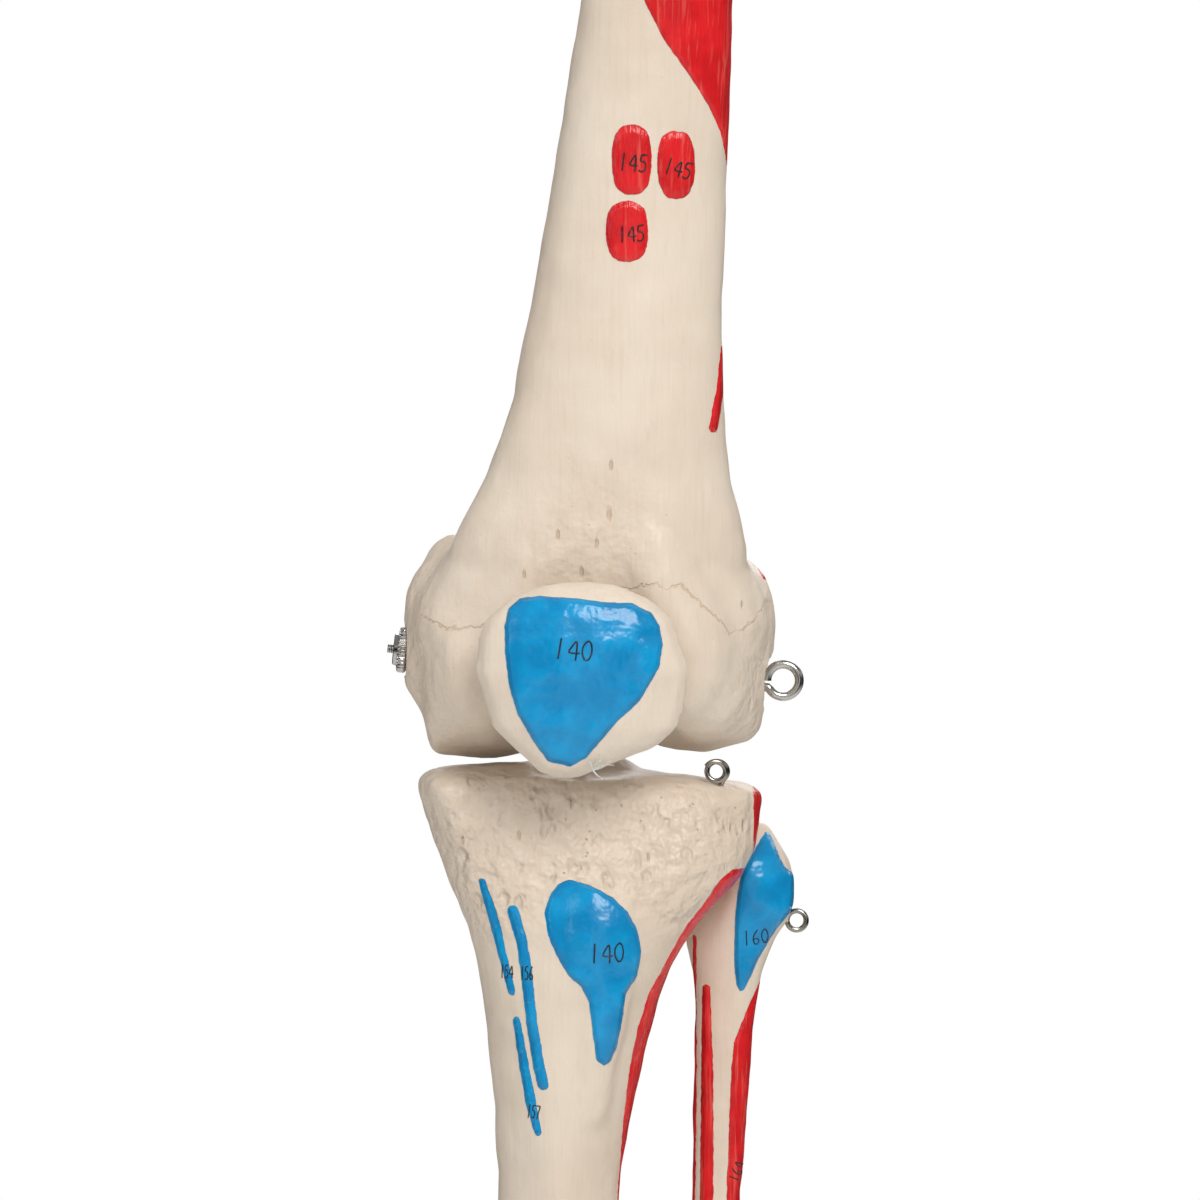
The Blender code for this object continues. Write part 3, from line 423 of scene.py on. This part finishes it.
FEMUR_RED = [
    ("front", -0.75, "outline", [
        (11, 147.4), (16.1, 137.3), (22.2, 128.9), (26, 123), (28.6, 117.5), (30.1, 110.4),
        (31.5, 96), (70, 96), (70, 345), (40, 352), (30, 348), (23, 335), (18.6, 300),
        (13.7, 250), (8.3, 200), (6, 165), (7.5, 154)]),
    ("front", 0.1, "oval", 9.1, 111.3, 4.3, 7.7), ("front", 0.1, "oval", 18.8, 110.2, 4.1, 7.4),
    ("front", 0.1, "oval", 8.1, 95.7, 4.6, 6.6),
    ("front", -0.3, "line", [(29.3, 71), (28.6, 62), (27.0, 53)], [0.6, 0.9, 1.0]),
    ("front", -0.4, "outline", [(36.6, 23), (38.3, 20.0), (44, 18), (44, 25)]),
    ("back", 0.35, "oval", -22, 26, 8, 4.5), ("back", 0.35, "oval", 25, 24, 7, 4.5),
    ("back", 0.3, "line", [(18, 70), (20, 130), (24, 200), (28, 262)], 1.1)]
FEMUR_BLUE = [
    ("lateral", 0.3, "oval", -4, 392, 9, 13),
    ("back", 0.3, "line", [(23.5, 110), (26.5, 190), (30.5, 285)], 0.8),
    ("back", 0.4, "oval", 36, 316, 3.2, 17), ("back", 0.3, "oval", 20, 346, 6.5, 8)]
TIBIA_BLUE = [
    ("front", 0.1, "outline", TUBEROSITY_BLUE),
    ("front", 0.1, "line", [(-23.5, -46.6), (-21.2, -54.5), (-17.2, -70.6)], [0.8, 1.15, 0.8]),
    ("front", 0.1, "line", [(-16.9, -52.8), (-15, -59.4), (-14.1, -64.7), (-13.4, -71.5),
                            (-12.5, -78.8), (-11.4, -85.6), (-10.3, -90.9)], 1.25),
    ("front", 0.1, "line", [(-16.1, -76.8), (-15.2, -82.7), (-14.1, -88.9), (-13, -95),
                            (-11.4, -101.6)], [0.8, 1.0, 1.1, 1.15, 0.8]),
    ("medial", 0.5, "oval", 8, -35, 7, 3.5), ("back", 0.4, "oval", -6, -60, 11, 14)]
TIBIA_RED = [
    ("front", -0.45, "outline", [
        (31.4, -44.0), (28.6, -46.0), (26.2, -50), (21.5, -56), (18.0, -61.8), (15.4, -66.8),
        (13.2, -70.5), (10.6, -78.3), (8.6, -88.4), (7.3, -99.7), (6.0, -116.6), (4.2, -150),
        (2.6, -190), (1.2, -232), (20, -236), (46, -60), (36, -44)]),
    ("front", -0.05, "outline", [(36.3, -25.6), (37.0, -33), (35.9, -41), (60, -42), (60, -25)]),
    ("lateral", 0.25, "oval", -4, -33.5, 10, 7.5),
    ("back", 0.35, "line", [(10, -62), (-4, -84), (-14, -104), (-17, -150)], [1.5, 3, 3, 1.2]),
    ("back", 0.35, "line", [(-5, -110), (-9, -150), (-12, -210)], [1.2, 2.4, 0.8])]
FIBULA_RED = [
    ("front", -0.3, "line", [(26.0, -71.5), (26.2, -90), (26.1, -117), (25, -180), (23, -250)],
     [0.9, 1.35, 1.5, 1.4, 0.7]),
    ("front", -0.85, "outline", [
        (38.8, -68.4), (35.6, -75), (32.1, -83.8), (31.5, -91.1), (31.0, -103.4),
        (30.6, -116.6), (29, -180), (27, -262), (31, -282), (60, -290), (60, -64)]),
    ("front", -0.2, "line", [(23.4, -60), (23.5, -90), (23.2, -117), (21.6, -175)], 0.42),
    ("back", 0.35, "line", [(32, -66), (29, -90), (27, -135)], [2, 3.2, 1.2])]


def soft(points, *spots):
    """Sum of soft round regions (x, y, z, radius, strength), clipped to 0..1."""
    total = np.zeros(len(points))
    for x, y, z, radius, strength in spots:
        away = ((points - (x, y, z)) ** 2).sum(1)
        total += strength * np.exp(-away / (radius * radius))
    return np.clip(total, 0, 1)


def seam_height(points, line):
    """Height above a growth line, and how strongly it shows (it fades out at its ends)."""
    xs, zs = np.array([q[0] for q in line]), np.array([q[1] for q in line])
    height = np.clip(points[:, 2] - np.interp(points[:, 0], xs, zs), -9, 9)
    past = np.maximum(xs[0] - points[:, 0], points[:, 0] - xs[-1]).clip(0)
    past = np.maximum(past, (points[:, 1] - 14).clip(0) * 0.5)
    return height, np.clip(1 - past / 3, 0, 1)


def swell(points, normals, bumps):
    """Pushes the surface out (or in) over soft ovals: x, y, z, rx, ry, rz, height."""
    push = np.zeros(len(points))
    for x, y, z, rx, ry, rz, height in bumps:
        away = (((points - (x, y, z)) / (rx, ry, rz)) ** 2).sum(1)
        push += height * np.exp(-away)
    return points + normals * push[:, None]


GROWTH_LATERAL = [(8.6, 18.0), (14.3, 18.9), (16.3, 17.8), (19.8, 18.5), (23.8, 15),
                  (26.6, 12.5), (29, 10.1), (30.6, 8.1), (33.4, 9), (36.1, 11), (38.5, 15)]
GROWTH_MEDIAL = [(-36, 11.8), (-31.2, 9), (-24.8, 9.5), (-20, 10.5)]
HEAD_CENTRE, HEAD_RADIUS = np.array([-5.0, -24.0, 408.0]), 22.9


def raise_paint(p, n, blue, red, height=0.16):
    """Lifts the painted areas by the thickness of the coat, with soft edges."""
    return p + n * (height * np.clip(-np.minimum(blue, red) / 1.2, 0, 1))[:, None]


def femur_skin():
    made, p, n = skin("femur", 0.85, 45, [(14, 0.45, 1), (6, 0.2, 2)])
    lateral, medial = seam_height(p, GROWTH_LATERAL), seam_height(p, GROWTH_MEDIAL)
    right = p[:, 0] > -10
    seam, seam_on = np.where(right, lateral[0], medial[0]), np.where(right, lateral[1], medial[1])
    blue, red = paint(p, n, FEMUR_BLUE), paint(p, n, FEMUR_RED)
    blue[(p[:, 0] < 40) & (p[:, 2] > 370)] = UNPAINTED       # no paint on the neck and head
    red[(p[:, 1] > -3) & (p[:, 2] > 330)] = UNPAINTED
    # rough zones: dents and knobbly bone, and with them painted shade, a darker and warmer tone
    rough = soft(p, (4, -30, 32, 13, 0.34), (-4, -28, 22, 14, 0.3), (-34, -8, -2, 18, 0.55),
                 (-34, -6, 16, 12, 0.35), (32, -10, -4, 17, 0.55), (34, -6, 16, 10, 0.35),
                 (0, 2, 24, 20, 0.8), (48, -6, 392, 20, 0.6), (36, -12, 372, 16, 0.4),
                 (24, 0, 348, 12, 0.4))
    arm = p - HEAD_CENTRE                            # the head is a true ball
    reach = np.linalg.norm(arm, axis=1)
    ball = np.clip((26.0 - reach) / 2.0, 0, 1) * np.clip((15 - arm @ (0.85, 0.1, -0.35)) / 4, 0, 1)
    ball = (ball * (reach > 18))[:, None]
    p = p * (1 - ball) + (HEAD_CENTRE + arm / np.maximum(reach, 1e-6)[:, None] * HEAD_RADIUS) * ball
    p = swell(p, n, [(-4, -36, 34, 9, 9, 10, -0.5), (4.5, -36, 36, 1.3, 9, 5, -0.7),
                     (-7, -36, 29, 1.3, 9, 4, -0.6), (-2, -36, 22, 1.4, 9, 4, -0.6),
                     (-13, -36, 26, 1.2, 9, 5, -0.5),
                     (3, -36, 27, 1.2, 9, 4, -0.45), (10, -36, 33, 1.3, 9, 5, -0.4),
                     (-13, -30, 30, 4, 9, 16, 0.5), (17, -34, 26, 5, 9, 16, 0.7),
                     (-30, -14, 10, 9, 9, 4, 0.5), (30, -14, 14, 8, 9, 4, 0.5),
                     (34, 0, 22, 4, 6, 5, 0.6), (-36, 0, 18, 4, 7, 5, 0.5),
                     (-29, -16, -6, 4, 6, 9, -0.5), (31, -14, -6, 4, 6, 9, -0.45)])
    p = raise_paint(p, n, blue, red)
    return settle(made, p, "femur", {"blue": blue, "red": red, "rough": rough, "seam": seam,
                                     "seam_on": seam_on}, MARKED)


def tibia_skin():
    made, p, n = skin("tibia", 0.85, 40, [(12, 0.4, 3), (5, 0.2, 4)])
    blue, red = paint(p, n, TIBIA_BLUE), paint(p, n, TIBIA_RED)
    red[(p[:, 0] < 36.0) & (p[:, 1] < 4) & (p[:, 2] > -43)] = UNPAINTED
    # rough zones: dents and knobbly bone, and with them painted shade, a darker and warmer tone
    rough = soft(p, (-26, -18, -36, 15, 1.0), (-10, -24, -38, 14, 0.9), (22, -18, -36, 15, 1.0),
                 (6, -26, -38, 12, 0.8), (34, -4, -34, 12, 0.6), (-34, 4, -34, 12, 0.7),
                 (-20, -20, -52, 10, 0.5), (18, -20, -50, 9, 0.6), (0, 20, -34, 22, 0.6),
                 (-24, 0, -372, 18, 0.4))
    p = swell(p, n, [(-1, -27, -34, 8, 9, 7, -0.6), (2, -28, -46, 10, 9, 6, -0.4),
                     (-22, -22, -40, 9, 9, 9, 0.7), (22, -20, -38, 9, 9, 9, 0.9),
                     (1, -27, -57, 8, 8, 9, 1.2), (-2, -16, -24, 8, 6, 4, -0.9)])
    p = raise_paint(p, n, blue, red)
    return settle(made, p, "tibia", {"blue": blue, "red": red, "rough": rough}, MARKED)


def fibula_skin():
    made, p, n = skin("fibula", 0.7, 40, [(9, 0.3, 5), (4, 0.12, 6)])
    blue = paint(p, n, [("front", -0.3, "outline", FIBULA_BLUE)])
    red = paint(p, n, FIBULA_RED)
    # rough zones: dents and knobbly bone, and with them painted shade, a darker and warmer tone
    rough = soft(p, (37, 12, -46, 12, 0.45), (16, 2, -392, 14, 0.4))
    p = raise_paint(p, n, blue, red)
    return settle(made, p, "fibula", {"blue": blue, "red": red, "rough": rough}, PAINTED)


def patella_skin():
    made, p, n = skin("patella", 0.5, 90, [(9, 0.22, 7), (3.5, 0.14, 8)])
    blue = paint(p, n, [("front", 0.1, "outline", PATELLA_BLUE)])
    none = np.full(len(p), UNPAINTED)
    # rough zones: dents and knobbly bone, and with them painted shade, a darker and warmer tone
    rough = soft(p, (-4, -42, -24, 7, 0.25), (0, -42, 0, 30, 0.14))
    p = swell(p, n, [(-4.4, -46, -20.9, 1.5, 4, 1.5, 0.35)])      # filled hole at the low point
    p = raise_paint(p, n, blue, none, 0.24)
    return settle(made, p, "patella", {"blue": blue, "red": none, "rough": rough}, PAINTED)


femur = femur_skin()
tibia = tibia_skin()
fibula = fibula_skin()
patella = patella_skin()

# small bone: its blue patches, its red ones
FOOT_PAINT = {
    "calcaneus": ([("back", 0.5, "oval", -6, -434, 8, 8)],
                  [("lateral", 0.4, "oval", -14, -420, 7, 4)]),
    "medial_cuneiform": ([("medial", 0.4, "oval", -70, -424, 4, 5)], []),
    "metatarsal_5": ([("lateral", 0.3, "oval", -62, -434, 4, 3)], []),
    "navicular": ([("medial", 0.4, "oval", -51, -411, 4, 4)], [])}
SMALL = [n for n in NODES if n in ("talus", "calcaneus", "navicular", "cuboid")
         or "cuneiform" in n or "metatarsal" in n or "phalanx" in n]
for index, node in enumerate(sorted(SMALL)):
    tiny = "phalanx" in node
    voxel = 0.45 if tiny else 0.6
    made, p, n = skin(node, voxel, 34 if tiny else 70,
                      [(6, 0.12 if tiny else 0.3, 10 + index), (3, 0.08, 50 + index)])
    blues, reds = FOOT_PAINT.get(node, ([], []))
    # the small bones get a little roughness, which also lays a trace of painted shade
    fields = {"blue": paint(p, n, blues), "red": paint(p, n, reds),
              "rough": np.full(len(p), 0.2)}
    settle(made, p, node, fields, PAINTED if node in FOOT_PAINT else PLAIN)


# ---- steel fittings ---------------------------------------------------------------------
class Shape:
    """Collects tubes and turned solids in knee millimetres, then makes one object of them."""

    def __init__(self):
        self.points, self.faces = [], []

    def grid(self, rings, closed=False):
        """Skins rings of equal size; open ends get a flat lid."""
        start, size = len(self.points), len(rings[0])
        for ring in rings:
            self.points += [tuple(q) for q in ring]
        last = len(rings) if closed else len(rings) - 1
        for i in range(last):
            a, b = start + i * size, start + (i + 1) % len(rings) * size
            self.faces += [(a + k, a + (k + 1) % size, b + (k + 1) % size, b + k)
                           for k in range(size)]
        if not closed:
            self.faces.append(tuple(start + k for k in reversed(range(size))))
            self.faces.append(tuple(start + last * size + k for k in range(size)))
        return self

    def tube(self, path, radius, sides=20):
        """A round wire along the path; radius may be one number or one for each point."""
        path = [Vector(q) for q in path]
        radii = radius if isinstance(radius, list) else [radius] * len(path)
        heading = (path[1] - path[0]).normalized()
        across = heading.orthogonal().normalized()
        rings = []
        for i, at in enumerate(path):
            ahead = path[min(i + 1, len(path) - 1)] - path[max(i - 1, 0)]
            turn = heading.rotation_difference(ahead.normalized())
            across, heading = turn @ across, ahead.normalized()
            up = heading.cross(across)
            rings.append([at + radii[i] * (cos(2 * pi * k / sides) * across
                                           + sin(2 * pi * k / sides) * up) for k in range(sides)])
        return self.grid(rings)

    def turned(self, profile, at, direction, sides=64, shape=None, closed=False):
        """(radius, height) pairs turned about the direction; shape(r, z, angle) bends r."""
        turn = Vector(direction).to_track_quat("Z", "Y").to_matrix().to_4x4()
        place = Matrix.Translation(at) @ turn
        rings = []
        for r, z in profile:
            ring = []
            for angle in (2 * pi * k / sides for k in range(sides)):
                bent = shape(r, z, angle) if shape else r
                ring.append(place @ Vector((bent * cos(angle), bent * sin(angle), z)))
            rings.append(ring)
        return self.grid(rings, closed)

    def thread(self, r, start, end, at, direction, pitch=0.7, depth=0.22, sides=36):
        """A rod with a helical thread cut in it, its ends rounded off."""
        count = int((end - start) / pitch * 7) + 1
        heights = [start + (end - start) * i / count for i in range(count + 1)]
        profile = [(r * 0.55, start)] + [(r, z) for z in heights] + [(r * 0.55, end)]

        def helix(radius, z, angle):
            return radius - depth * (0.5 + 0.5 * cos(2 * pi * z / pitch - angle))
        return self.turned(profile, at, direction, sides, helix)

    def make(self, name, node, finish, smooth=radians(38)):
        """One object of all that was collected; node is the CAD node it replaces, or a body."""
        mesh = bpy.data.meshes.new(name)
        mesh.from_pydata([tuple((Vector(q) + Vector(KNEE)) * MM) for q in self.points], [],
                         self.faces)
        work = bmesh.new()
        work.from_mesh(mesh)
        bmesh.ops.recalc_face_normals(work, faces=work.faces)
        for edge in work.edges:
            edge.smooth = len(edge.link_faces) == 2 and edge.calc_face_angle(0) < smooth
        for face in work.faces:
            face.smooth = True
        work.to_mesh(mesh)
        work.free()
        made = bpy.data.objects.new(name, mesh)
        bpy.context.scene.collection.objects.link(made)
        mesh.materials.append(finish)
        if node in NODES:
            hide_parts(node)
        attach(made, BODY_OF.get(node, node))
        return made


def arc(centre, r, start, turn, steps, drift=(0, 0, 0)):
    """A loop in the plane that faces the front, drifting along as it turns."""
    return [Vector(centre) + Vector(drift) * (k / steps - 0.5)
            + r * Vector((cos(radians(start + turn * k / steps)), 0,
                          sin(radians(start + turn * k / steps)))) for k in range(steps + 1)]


# where the knee axle leaves the condyles, and its sizes
MEDIAL, LATERAL = Vector((-42.9, 0, 4.4)), Vector((39.2, 0, -4.0))
AXIS = (LATERAL - MEDIAL).normalized()
NUT_OUT, NUT_TALL, AXLE_R = 0.9, 3.4, 1.0
nut_face = MEDIAL - AXIS * NUT_OUT


def flutes(count, depth, only):
    """Shape function for knurling: shallow grooves on the widest part."""
    return lambda r, z, angle: r - (depth * (0.5 + 0.5 * cos(count * angle)) if r > only else 0)


def hexagon(only):
    """Shape function for a nut: everything wider than the limit is cut to six flats."""
    def bend(r, z, angle):
        flat = r * cos(pi / 6) / cos((angle + pi / 6) % (pi / 3) - pi / 6)
        return min(r, flat) if r > only else r
    return bend


def socket(limit):
    """A six-sided recess: rings inside the limit become hexagons."""
    return lambda r, z, angle: r * (cos(pi / 6) / cos((angle % (pi / 3)) - pi / 6)
                                    if 0.2 < r < limit else 1)


axle = Shape().thread(AXLE_R, -1.35, 6.0, nut_face, AXIS, 0.5, 0.16)
axle.tube([MEDIAL + AXIS * 4.9, MEDIAL.lerp(LATERAL, 0.5), LATERAL - AXIS * 0.8]
          + arc((43.0, 0, -2.5), 3.6, 207, 334, 56, (0, 0.9, 0)), AXLE_R, 24)
axle.make("knee_axle_eye", "knee_axle", NICKEL)

nut = Shape().turned([(1.12, 0), (4.2, 0), (4.7, 0.25), (5.1, 0.6), (5.1, 2.0), (4.75, 2.35),
                      (3.6, 2.5), (3.5, 3.2), (3.2, 3.4), (1.5, 3.4), (1.12, 3.1)],
                     MEDIAL - AXIS * (NUT_OUT - NUT_TALL), -AXIS, 180, flutes(36, 0.34, 4.6), True)
nut.make("knurled_nut", "knee_nut", NICKEL)

tie = Shape()
upper = arc((27.9, -15.0, -22.4), 2.15, 150, -560, 80, (0, 1.9, 0))
upper = [q + Vector(((q.y + 15) * 0.35, 0, 0)) for q in upper]
lower = arc((46.4, 15, -56.6), 2.15, 185, 640, 90, (0, 1.6, 0))
tie.tube(upper + [Vector((27.7, -13.2, -27.4)), Vector((28.5, 3, -42)),
                  Vector((40.0, 13.2, -53.5)), Vector((43.2, 14.6, -56.0))] + lower, 0.6, 14)
tie.make("tie_wire_coils", "tibiofibular_tie_wire", WIRE)

screw = Shape().turned([(0.1, 1.0), (1.3, 1.0), (1.4, 0.1), (2.3, 0.0), (2.9, 0.5), (3.0, 1.6),
                        (1.5, 1.6), (1.5, 34), (0.4, 36.4), (0.1, 36.4)],
                       (26.4, 4, -338), (-1, 0, 0), 48, socket(1.45))
screw.make("socket_screw", "tibiofibular_screw", ZINC)

ANKLE_BOLT = ((23.5, 1, -392), (-1, 0, 0))       # outer end of its head, and the way it points
bolt = Shape().turned([(0.1, 1.1), (1.6, 1.1), (1.7, 0.1), (2.9, 0.0), (3.5, 0.45), (3.6, 2.0),
                       (1.5, 2.0), (1.5, 55.0), (0.1, 55.0)], *ANKLE_BOLT, 48,
                      socket(1.75))
bolt.thread(1.5, 54.5, 65.4, *ANKLE_BOLT, 0.6, 0.2)
bolt.make("ankle_bolt", "ankle_axle", ZINC)
lock = Shape().turned([(1.56, 0), (3.4, 0), (3.8, 0.35), (3.8, 2.3), (3.3, 2.6), (2.9, 3.2),
                       (1.56, 3.2)], (-34.9, 1, -392), (-1, 0, 0), 96, hexagon(3.3), True)
lock.make("ankle_lock_nut", "ankle_nut", ZINC)

TO_HIP = ((-66.0, -24, 408), (1, 0, 0))          # free end of the hip stud, and its way in
Shape().thread(3.0, 0, 27.0, *TO_HIP, 1.25, 0.4, 48).turned(
    [(2.95, 26.0), (2.95, 61.9), (0.5, 61.9)], *TO_HIP, 48).make("threaded_stud", "hip_stud", ZINC)
Shape().turned([(3.15, 12.6), (8.7, 12.5), (9.0, 12.8), (9.0, 13.7), (8.7, 14.0), (3.15, 13.9)],
               *TO_HIP, 72, None, True).make("round_washer", "hip_washer", ZINC)
wing = Shape().turned([(3.07, 5.8), (4.6, 5.8), (5.1, 6.3), (5.6, 11.6), (5.3, 12.2), (3.07, 12.2)],
                      *TO_HIP, 60, None, True)
for side in (-1, 1):
    blade = []
    for i in range(13):                          # a thin ear, broad and rounded at its end
        out = i / 12
        middle = Vector((-56.2 - 4.6 * out, -24 + side * (4.6 + 10.4 * out), 408))
        tall = (2.6 + 1.9 * sin(pi * min(1, out * 1.15) * 0.62)) * (
            1 if i < 10 else (1, 0.82, 0.45)[i - 10])
        thick = (1.75 - 0.75 * out) * (1 if i < 12 else 0.55)
        angles = [2 * pi * k / 28 for k in range(28)]
        blade.append([middle + Vector((thick * cos(a), side * -0.4 * cos(a), tall * sin(a)))
                      for a in angles])
    wing.grid(blade)
wing.make("wing_nut", "hip_wing_nut", ZINC)

# ---- index numbers, in ink, and the nylon ends left at the kneecap ----------------------
# single-stroke figures in a box 0.6 wide and 1 tall
STROKES = {
    "0": [(0.3, 1), (0.08, 0.8), (0.03, 0.4), (0.2, 0.02), (0.42, 0.1), (0.52, 0.5), (0.45, 0.9),
          (0.3, 1)],
    "1": [(0.3, 1), (0.24, 0)],
    "7": [(0.02, 0.95), (0.3, 0.98), (0.56, 0.95), (0.32, 0.5), (0.2, 0)],
    "4": [(0.42, 0), (0.44, 0.5), (0.42, 1), (0.2, 0.66), (0.02, 0.36), (0.3, 0.33), (0.6, 0.36)],
    "5": [(0.52, 0.98), (0.3, 0.97), (0.12, 0.95), (0.08, 0.58), (0.3, 0.62), (0.5, 0.42),
          (0.42, 0.1), (0.2, 0), (0.02, 0.1)],
    "6": [(0.44, 0.98), (0.18, 0.7), (0.06, 0.35), (0.15, 0.04), (0.38, 0.02), (0.5, 0.25),
          (0.36, 0.46), (0.1, 0.34)]}


def rounded(line):
    """Cuts the corners of a line twice."""
    for _ in range(2):
        line = [line[0]] + [(a[0] * w + b[0] * (1 - w), a[1] * w + b[1] * (1 - w))
                            for a, b in zip(line, line[1:]) for w in (0.75, 0.25)] + [line[-1]]
    return line


def index_numbers(name, body, bone_skin, texts):
    """Single-stroke figures laid on the front of a bone: text, x, z, height, tilt, width."""
    made = Shape()
    bpy.context.view_layer.update()
    for text, cx, cz, tall, tilt, wide in texts:
        for at, figure in enumerate(text):
            path = []
            for u, v in rounded(STROKES[figure]):
                u, v = (u + (at - len(text) / 2) * 0.66) * tall * wide, (v - 0.5) * tall
                x = cx + u * cos(tilt) - v * sin(tilt)
                z = cz + u * sin(tilt) + v * cos(tilt)
                start = (Vector((x, -80, z)) + Vector(KNEE)) * MM
                hit, spot, normal, _ = bone_skin.ray_cast(start, Vector((0, 1, 0)))
                if hit:
                    path.append(spot / MM - Vector(KNEE) + normal * 0.01)
            if len(path) > 2:                    # a figure that missed the bone is left out
                made.tube(path, 0.19 if tall > 3.5 else 0.14, 6)
    made.make(name, body, INK)


index_numbers("index_thigh", "thigh", femur, [
    ("145", 9.6, 110.6, 3.9, -0.08, 0.85), ("145", 19.4, 109.4, 3.7, -0.25, 0.85),
    ("145", 9.2, 95.2, 3.6, 0.05, 0.85)])
index_numbers("index_kneecap", "thigh", patella, [("140", -3.3, 4.6, 4.5, -0.1, 1.0)])
index_numbers("index_shin", "shank", tibia, [
    ("140", 3.9, -61.8, 4.3, 0.02, 0.95), ("154", -18.2, -66.2, 3.0, 0.0, 0.5),
    ("156", -13.8, -66.4, 3.0, 0.0, 0.5), ("157", -12.3, -97.0, 3.0, -0.1, 0.5)])
index_numbers("index_calf", "shank", fibula, [
    ("160", 37.2, -60.0, 3.3, 0.1, 0.95), ("164", 32.9, -112.5, 2.6, 1.2, 0.9)])

whiskers = Shape()
root = Vector((0.6, -44.2, -21.4))
for dx, dz, bend in ((3.6, 3.2, 0.6), (1.4, 3.4, -0.4), (4.6, 1.0, 0.5), (2.8, -1.8, -0.6),
                     (-1.0, 2.6, 0.4), (4.2, 2.2, -0.5)):
    path = [root + Vector((dx * k / 6, -0.9 * k / 6, dz * k / 6 + bend * sin(pi * k / 6)))
            for k in range(7)]
    whiskers.tube(path, [0.2 - 0.018 * k for k in range(7)], 8)
whiskers.make("nylon_ends", "thigh", NYLON)

# ---- finish of every CAD node that still shows ------------------------------------------
for node in BODY_OF:
    if not NODES[node].hide_render:
        NODES[node].data.materials.clear()
        NODES[node].data.materials.append(NICKEL if "knee" in node else ZINC)

# ---- stage, light, camera ---------------------------------------------------------------
pale = Tree("pale_floor")
pale.set(Base_Color=pale.mix(pale.ramp(pale.noise(3, 2), 0.3, 0.7), (0.90, 0.90, 0.895),
                             (0.87, 0.87, 0.865)), Roughness=0.75)
from_centre = pale.add("ShaderNodeVectorMath", {0: pale.coords(), 1: (0.0, 0.0, 0.0)},
                  operation="DISTANCE").outputs["Value"]
clear = pale.add("ShaderNodeBsdfTransparent")
blend = pale.add("ShaderNodeMixShader", {0: pale.ramp(from_centre, 0.45, 1.7),
                                         1: pale.out.outputs[0], 2: clear.outputs[0]})
pale.tree.links.new(blend.outputs[0], pale.tree.nodes["Material Output"].inputs["Surface"])
FLOOR_RADIUS, FLOOR_Z = 1.8, -0.882             # just under the foot
bm = bmesh.new()
bmesh.ops.create_circle(bm, cap_ends=True, segments=48, radius=FLOOR_RADIUS)
disc = bpy.data.meshes.new("floor")
bm.to_mesh(disc)
bm.free()
floor = bpy.data.objects.new("floor", disc)
floor.location = (0.06, -0.02, FLOOR_Z)
bpy.context.scene.collection.objects.link(floor)
floor.data.materials.append(pale.mat)

world = bpy.data.worlds.new("soft_white")
bpy.context.scene.world = world
world.use_nodes = True
nodes, links = world.node_tree.nodes, world.node_tree.links
shown, lit, gloss = (nodes["Background"], nodes.new("ShaderNodeBackground"),
                     nodes.new("ShaderNodeBackground"))
shown.inputs["Color"].default_value = (1, 1, 1, 1)
lit.inputs["Color"].default_value = (1, 0.985, 0.96, 1)
lit.inputs["Strength"].default_value = 0.5
where = nodes.new("ShaderNodeTexCoord")
parted = nodes.new("ShaderNodeSeparateXYZ")
links.new(where.outputs["Generated"], parted.inputs[0])
bands = nodes.new("ShaderNodeValToRGB")        # studio with dark walls: what shiny parts mirror
stops = [(0.0, 0.42), (0.36, 0.30), (0.42, 0.02), (0.58, 0.03), (0.68, 0.55), (0.8, 0.16),
         (1.0, 0.3)]
while len(bands.color_ramp.elements) < len(stops):
    bands.color_ramp.elements.new(0.5)
for mark, (at, level) in zip(bands.color_ramp.elements, stops):
    mark.position, mark.color = at, (level, level, level, 1)
half = nodes.new("ShaderNodeMapRange")
half.inputs["From Min"].default_value = -1
links.new(parted.outputs["Z"], half.inputs["Value"])
links.new(half.outputs["Result"], bands.inputs["Fac"])
links.new(bands.outputs["Color"], gloss.inputs["Color"])
path = nodes.new("ShaderNodeLightPath")
both, seen = nodes.new("ShaderNodeMixShader"), nodes.new("ShaderNodeMixShader")
links.new(path.outputs["Is Glossy Ray"], both.inputs[0])
links.new(lit.outputs[0], both.inputs[1])
links.new(gloss.outputs[0], both.inputs[2])
links.new(path.outputs["Is Camera Ray"], seen.inputs[0])
links.new(both.outputs[0], seen.inputs[1])
links.new(shown.outputs[0], seen.inputs[2])
links.new(seen.outputs[0], nodes["World Output"].inputs["Surface"])


def area(name, place, target, size, power, colour=(1, 1, 1)):
    lamp = bpy.data.lights.new(name, "AREA")
    lamp.shape = "RECTANGLE"
    lamp.size, lamp.size_y = size
    lamp.energy = power
    lamp.color = colour
    made = bpy.data.objects.new(name, lamp)
    made.location = place
    made.rotation_euler = (Vector(target) - Vector(place)).to_track_quat("-Z", "Y").to_euler()
    bpy.context.scene.collection.objects.link(made)


knee = Vector(KNEE) * MM
area("key", knee + Vector((0.45, -1.35, 1.05)), knee, (0.75, 0.75), 19, (1, 0.98, 0.95))
area("front", knee + Vector((0.1, -2.0, 0.0)), knee, (0.9, 1.4), 2.2, (1, 0.99, 0.97))
area("side", knee + Vector((-1.4, -0.7, 0.5)), knee, (0.5, 1.4), 3.6, (0.98, 0.99, 1))
area("back_rim", knee + Vector((0.3, 1.5, 0.9)), knee, (1.2, 1.2), 9)

lens = bpy.data.cameras.new("camera")
camera = bpy.data.objects.new("camera", lens)
bpy.context.scene.collection.objects.link(camera)
bpy.context.scene.camera = camera
DISTANCE, FIELD, SENSOR = 1.6, 0.264, 36         # FIELD is the width seen at the knee, m
lens.sensor_width = SENSOR
lens.lens = SENSOR * DISTANCE / FIELD
camera.location = knee + Vector((0.0022, -DISTANCE - 0.02, 0.0154))
camera.rotation_euler = (pi / 2, 0, 0)
bpy.context.scene.view_settings.view_transform = "Standard"
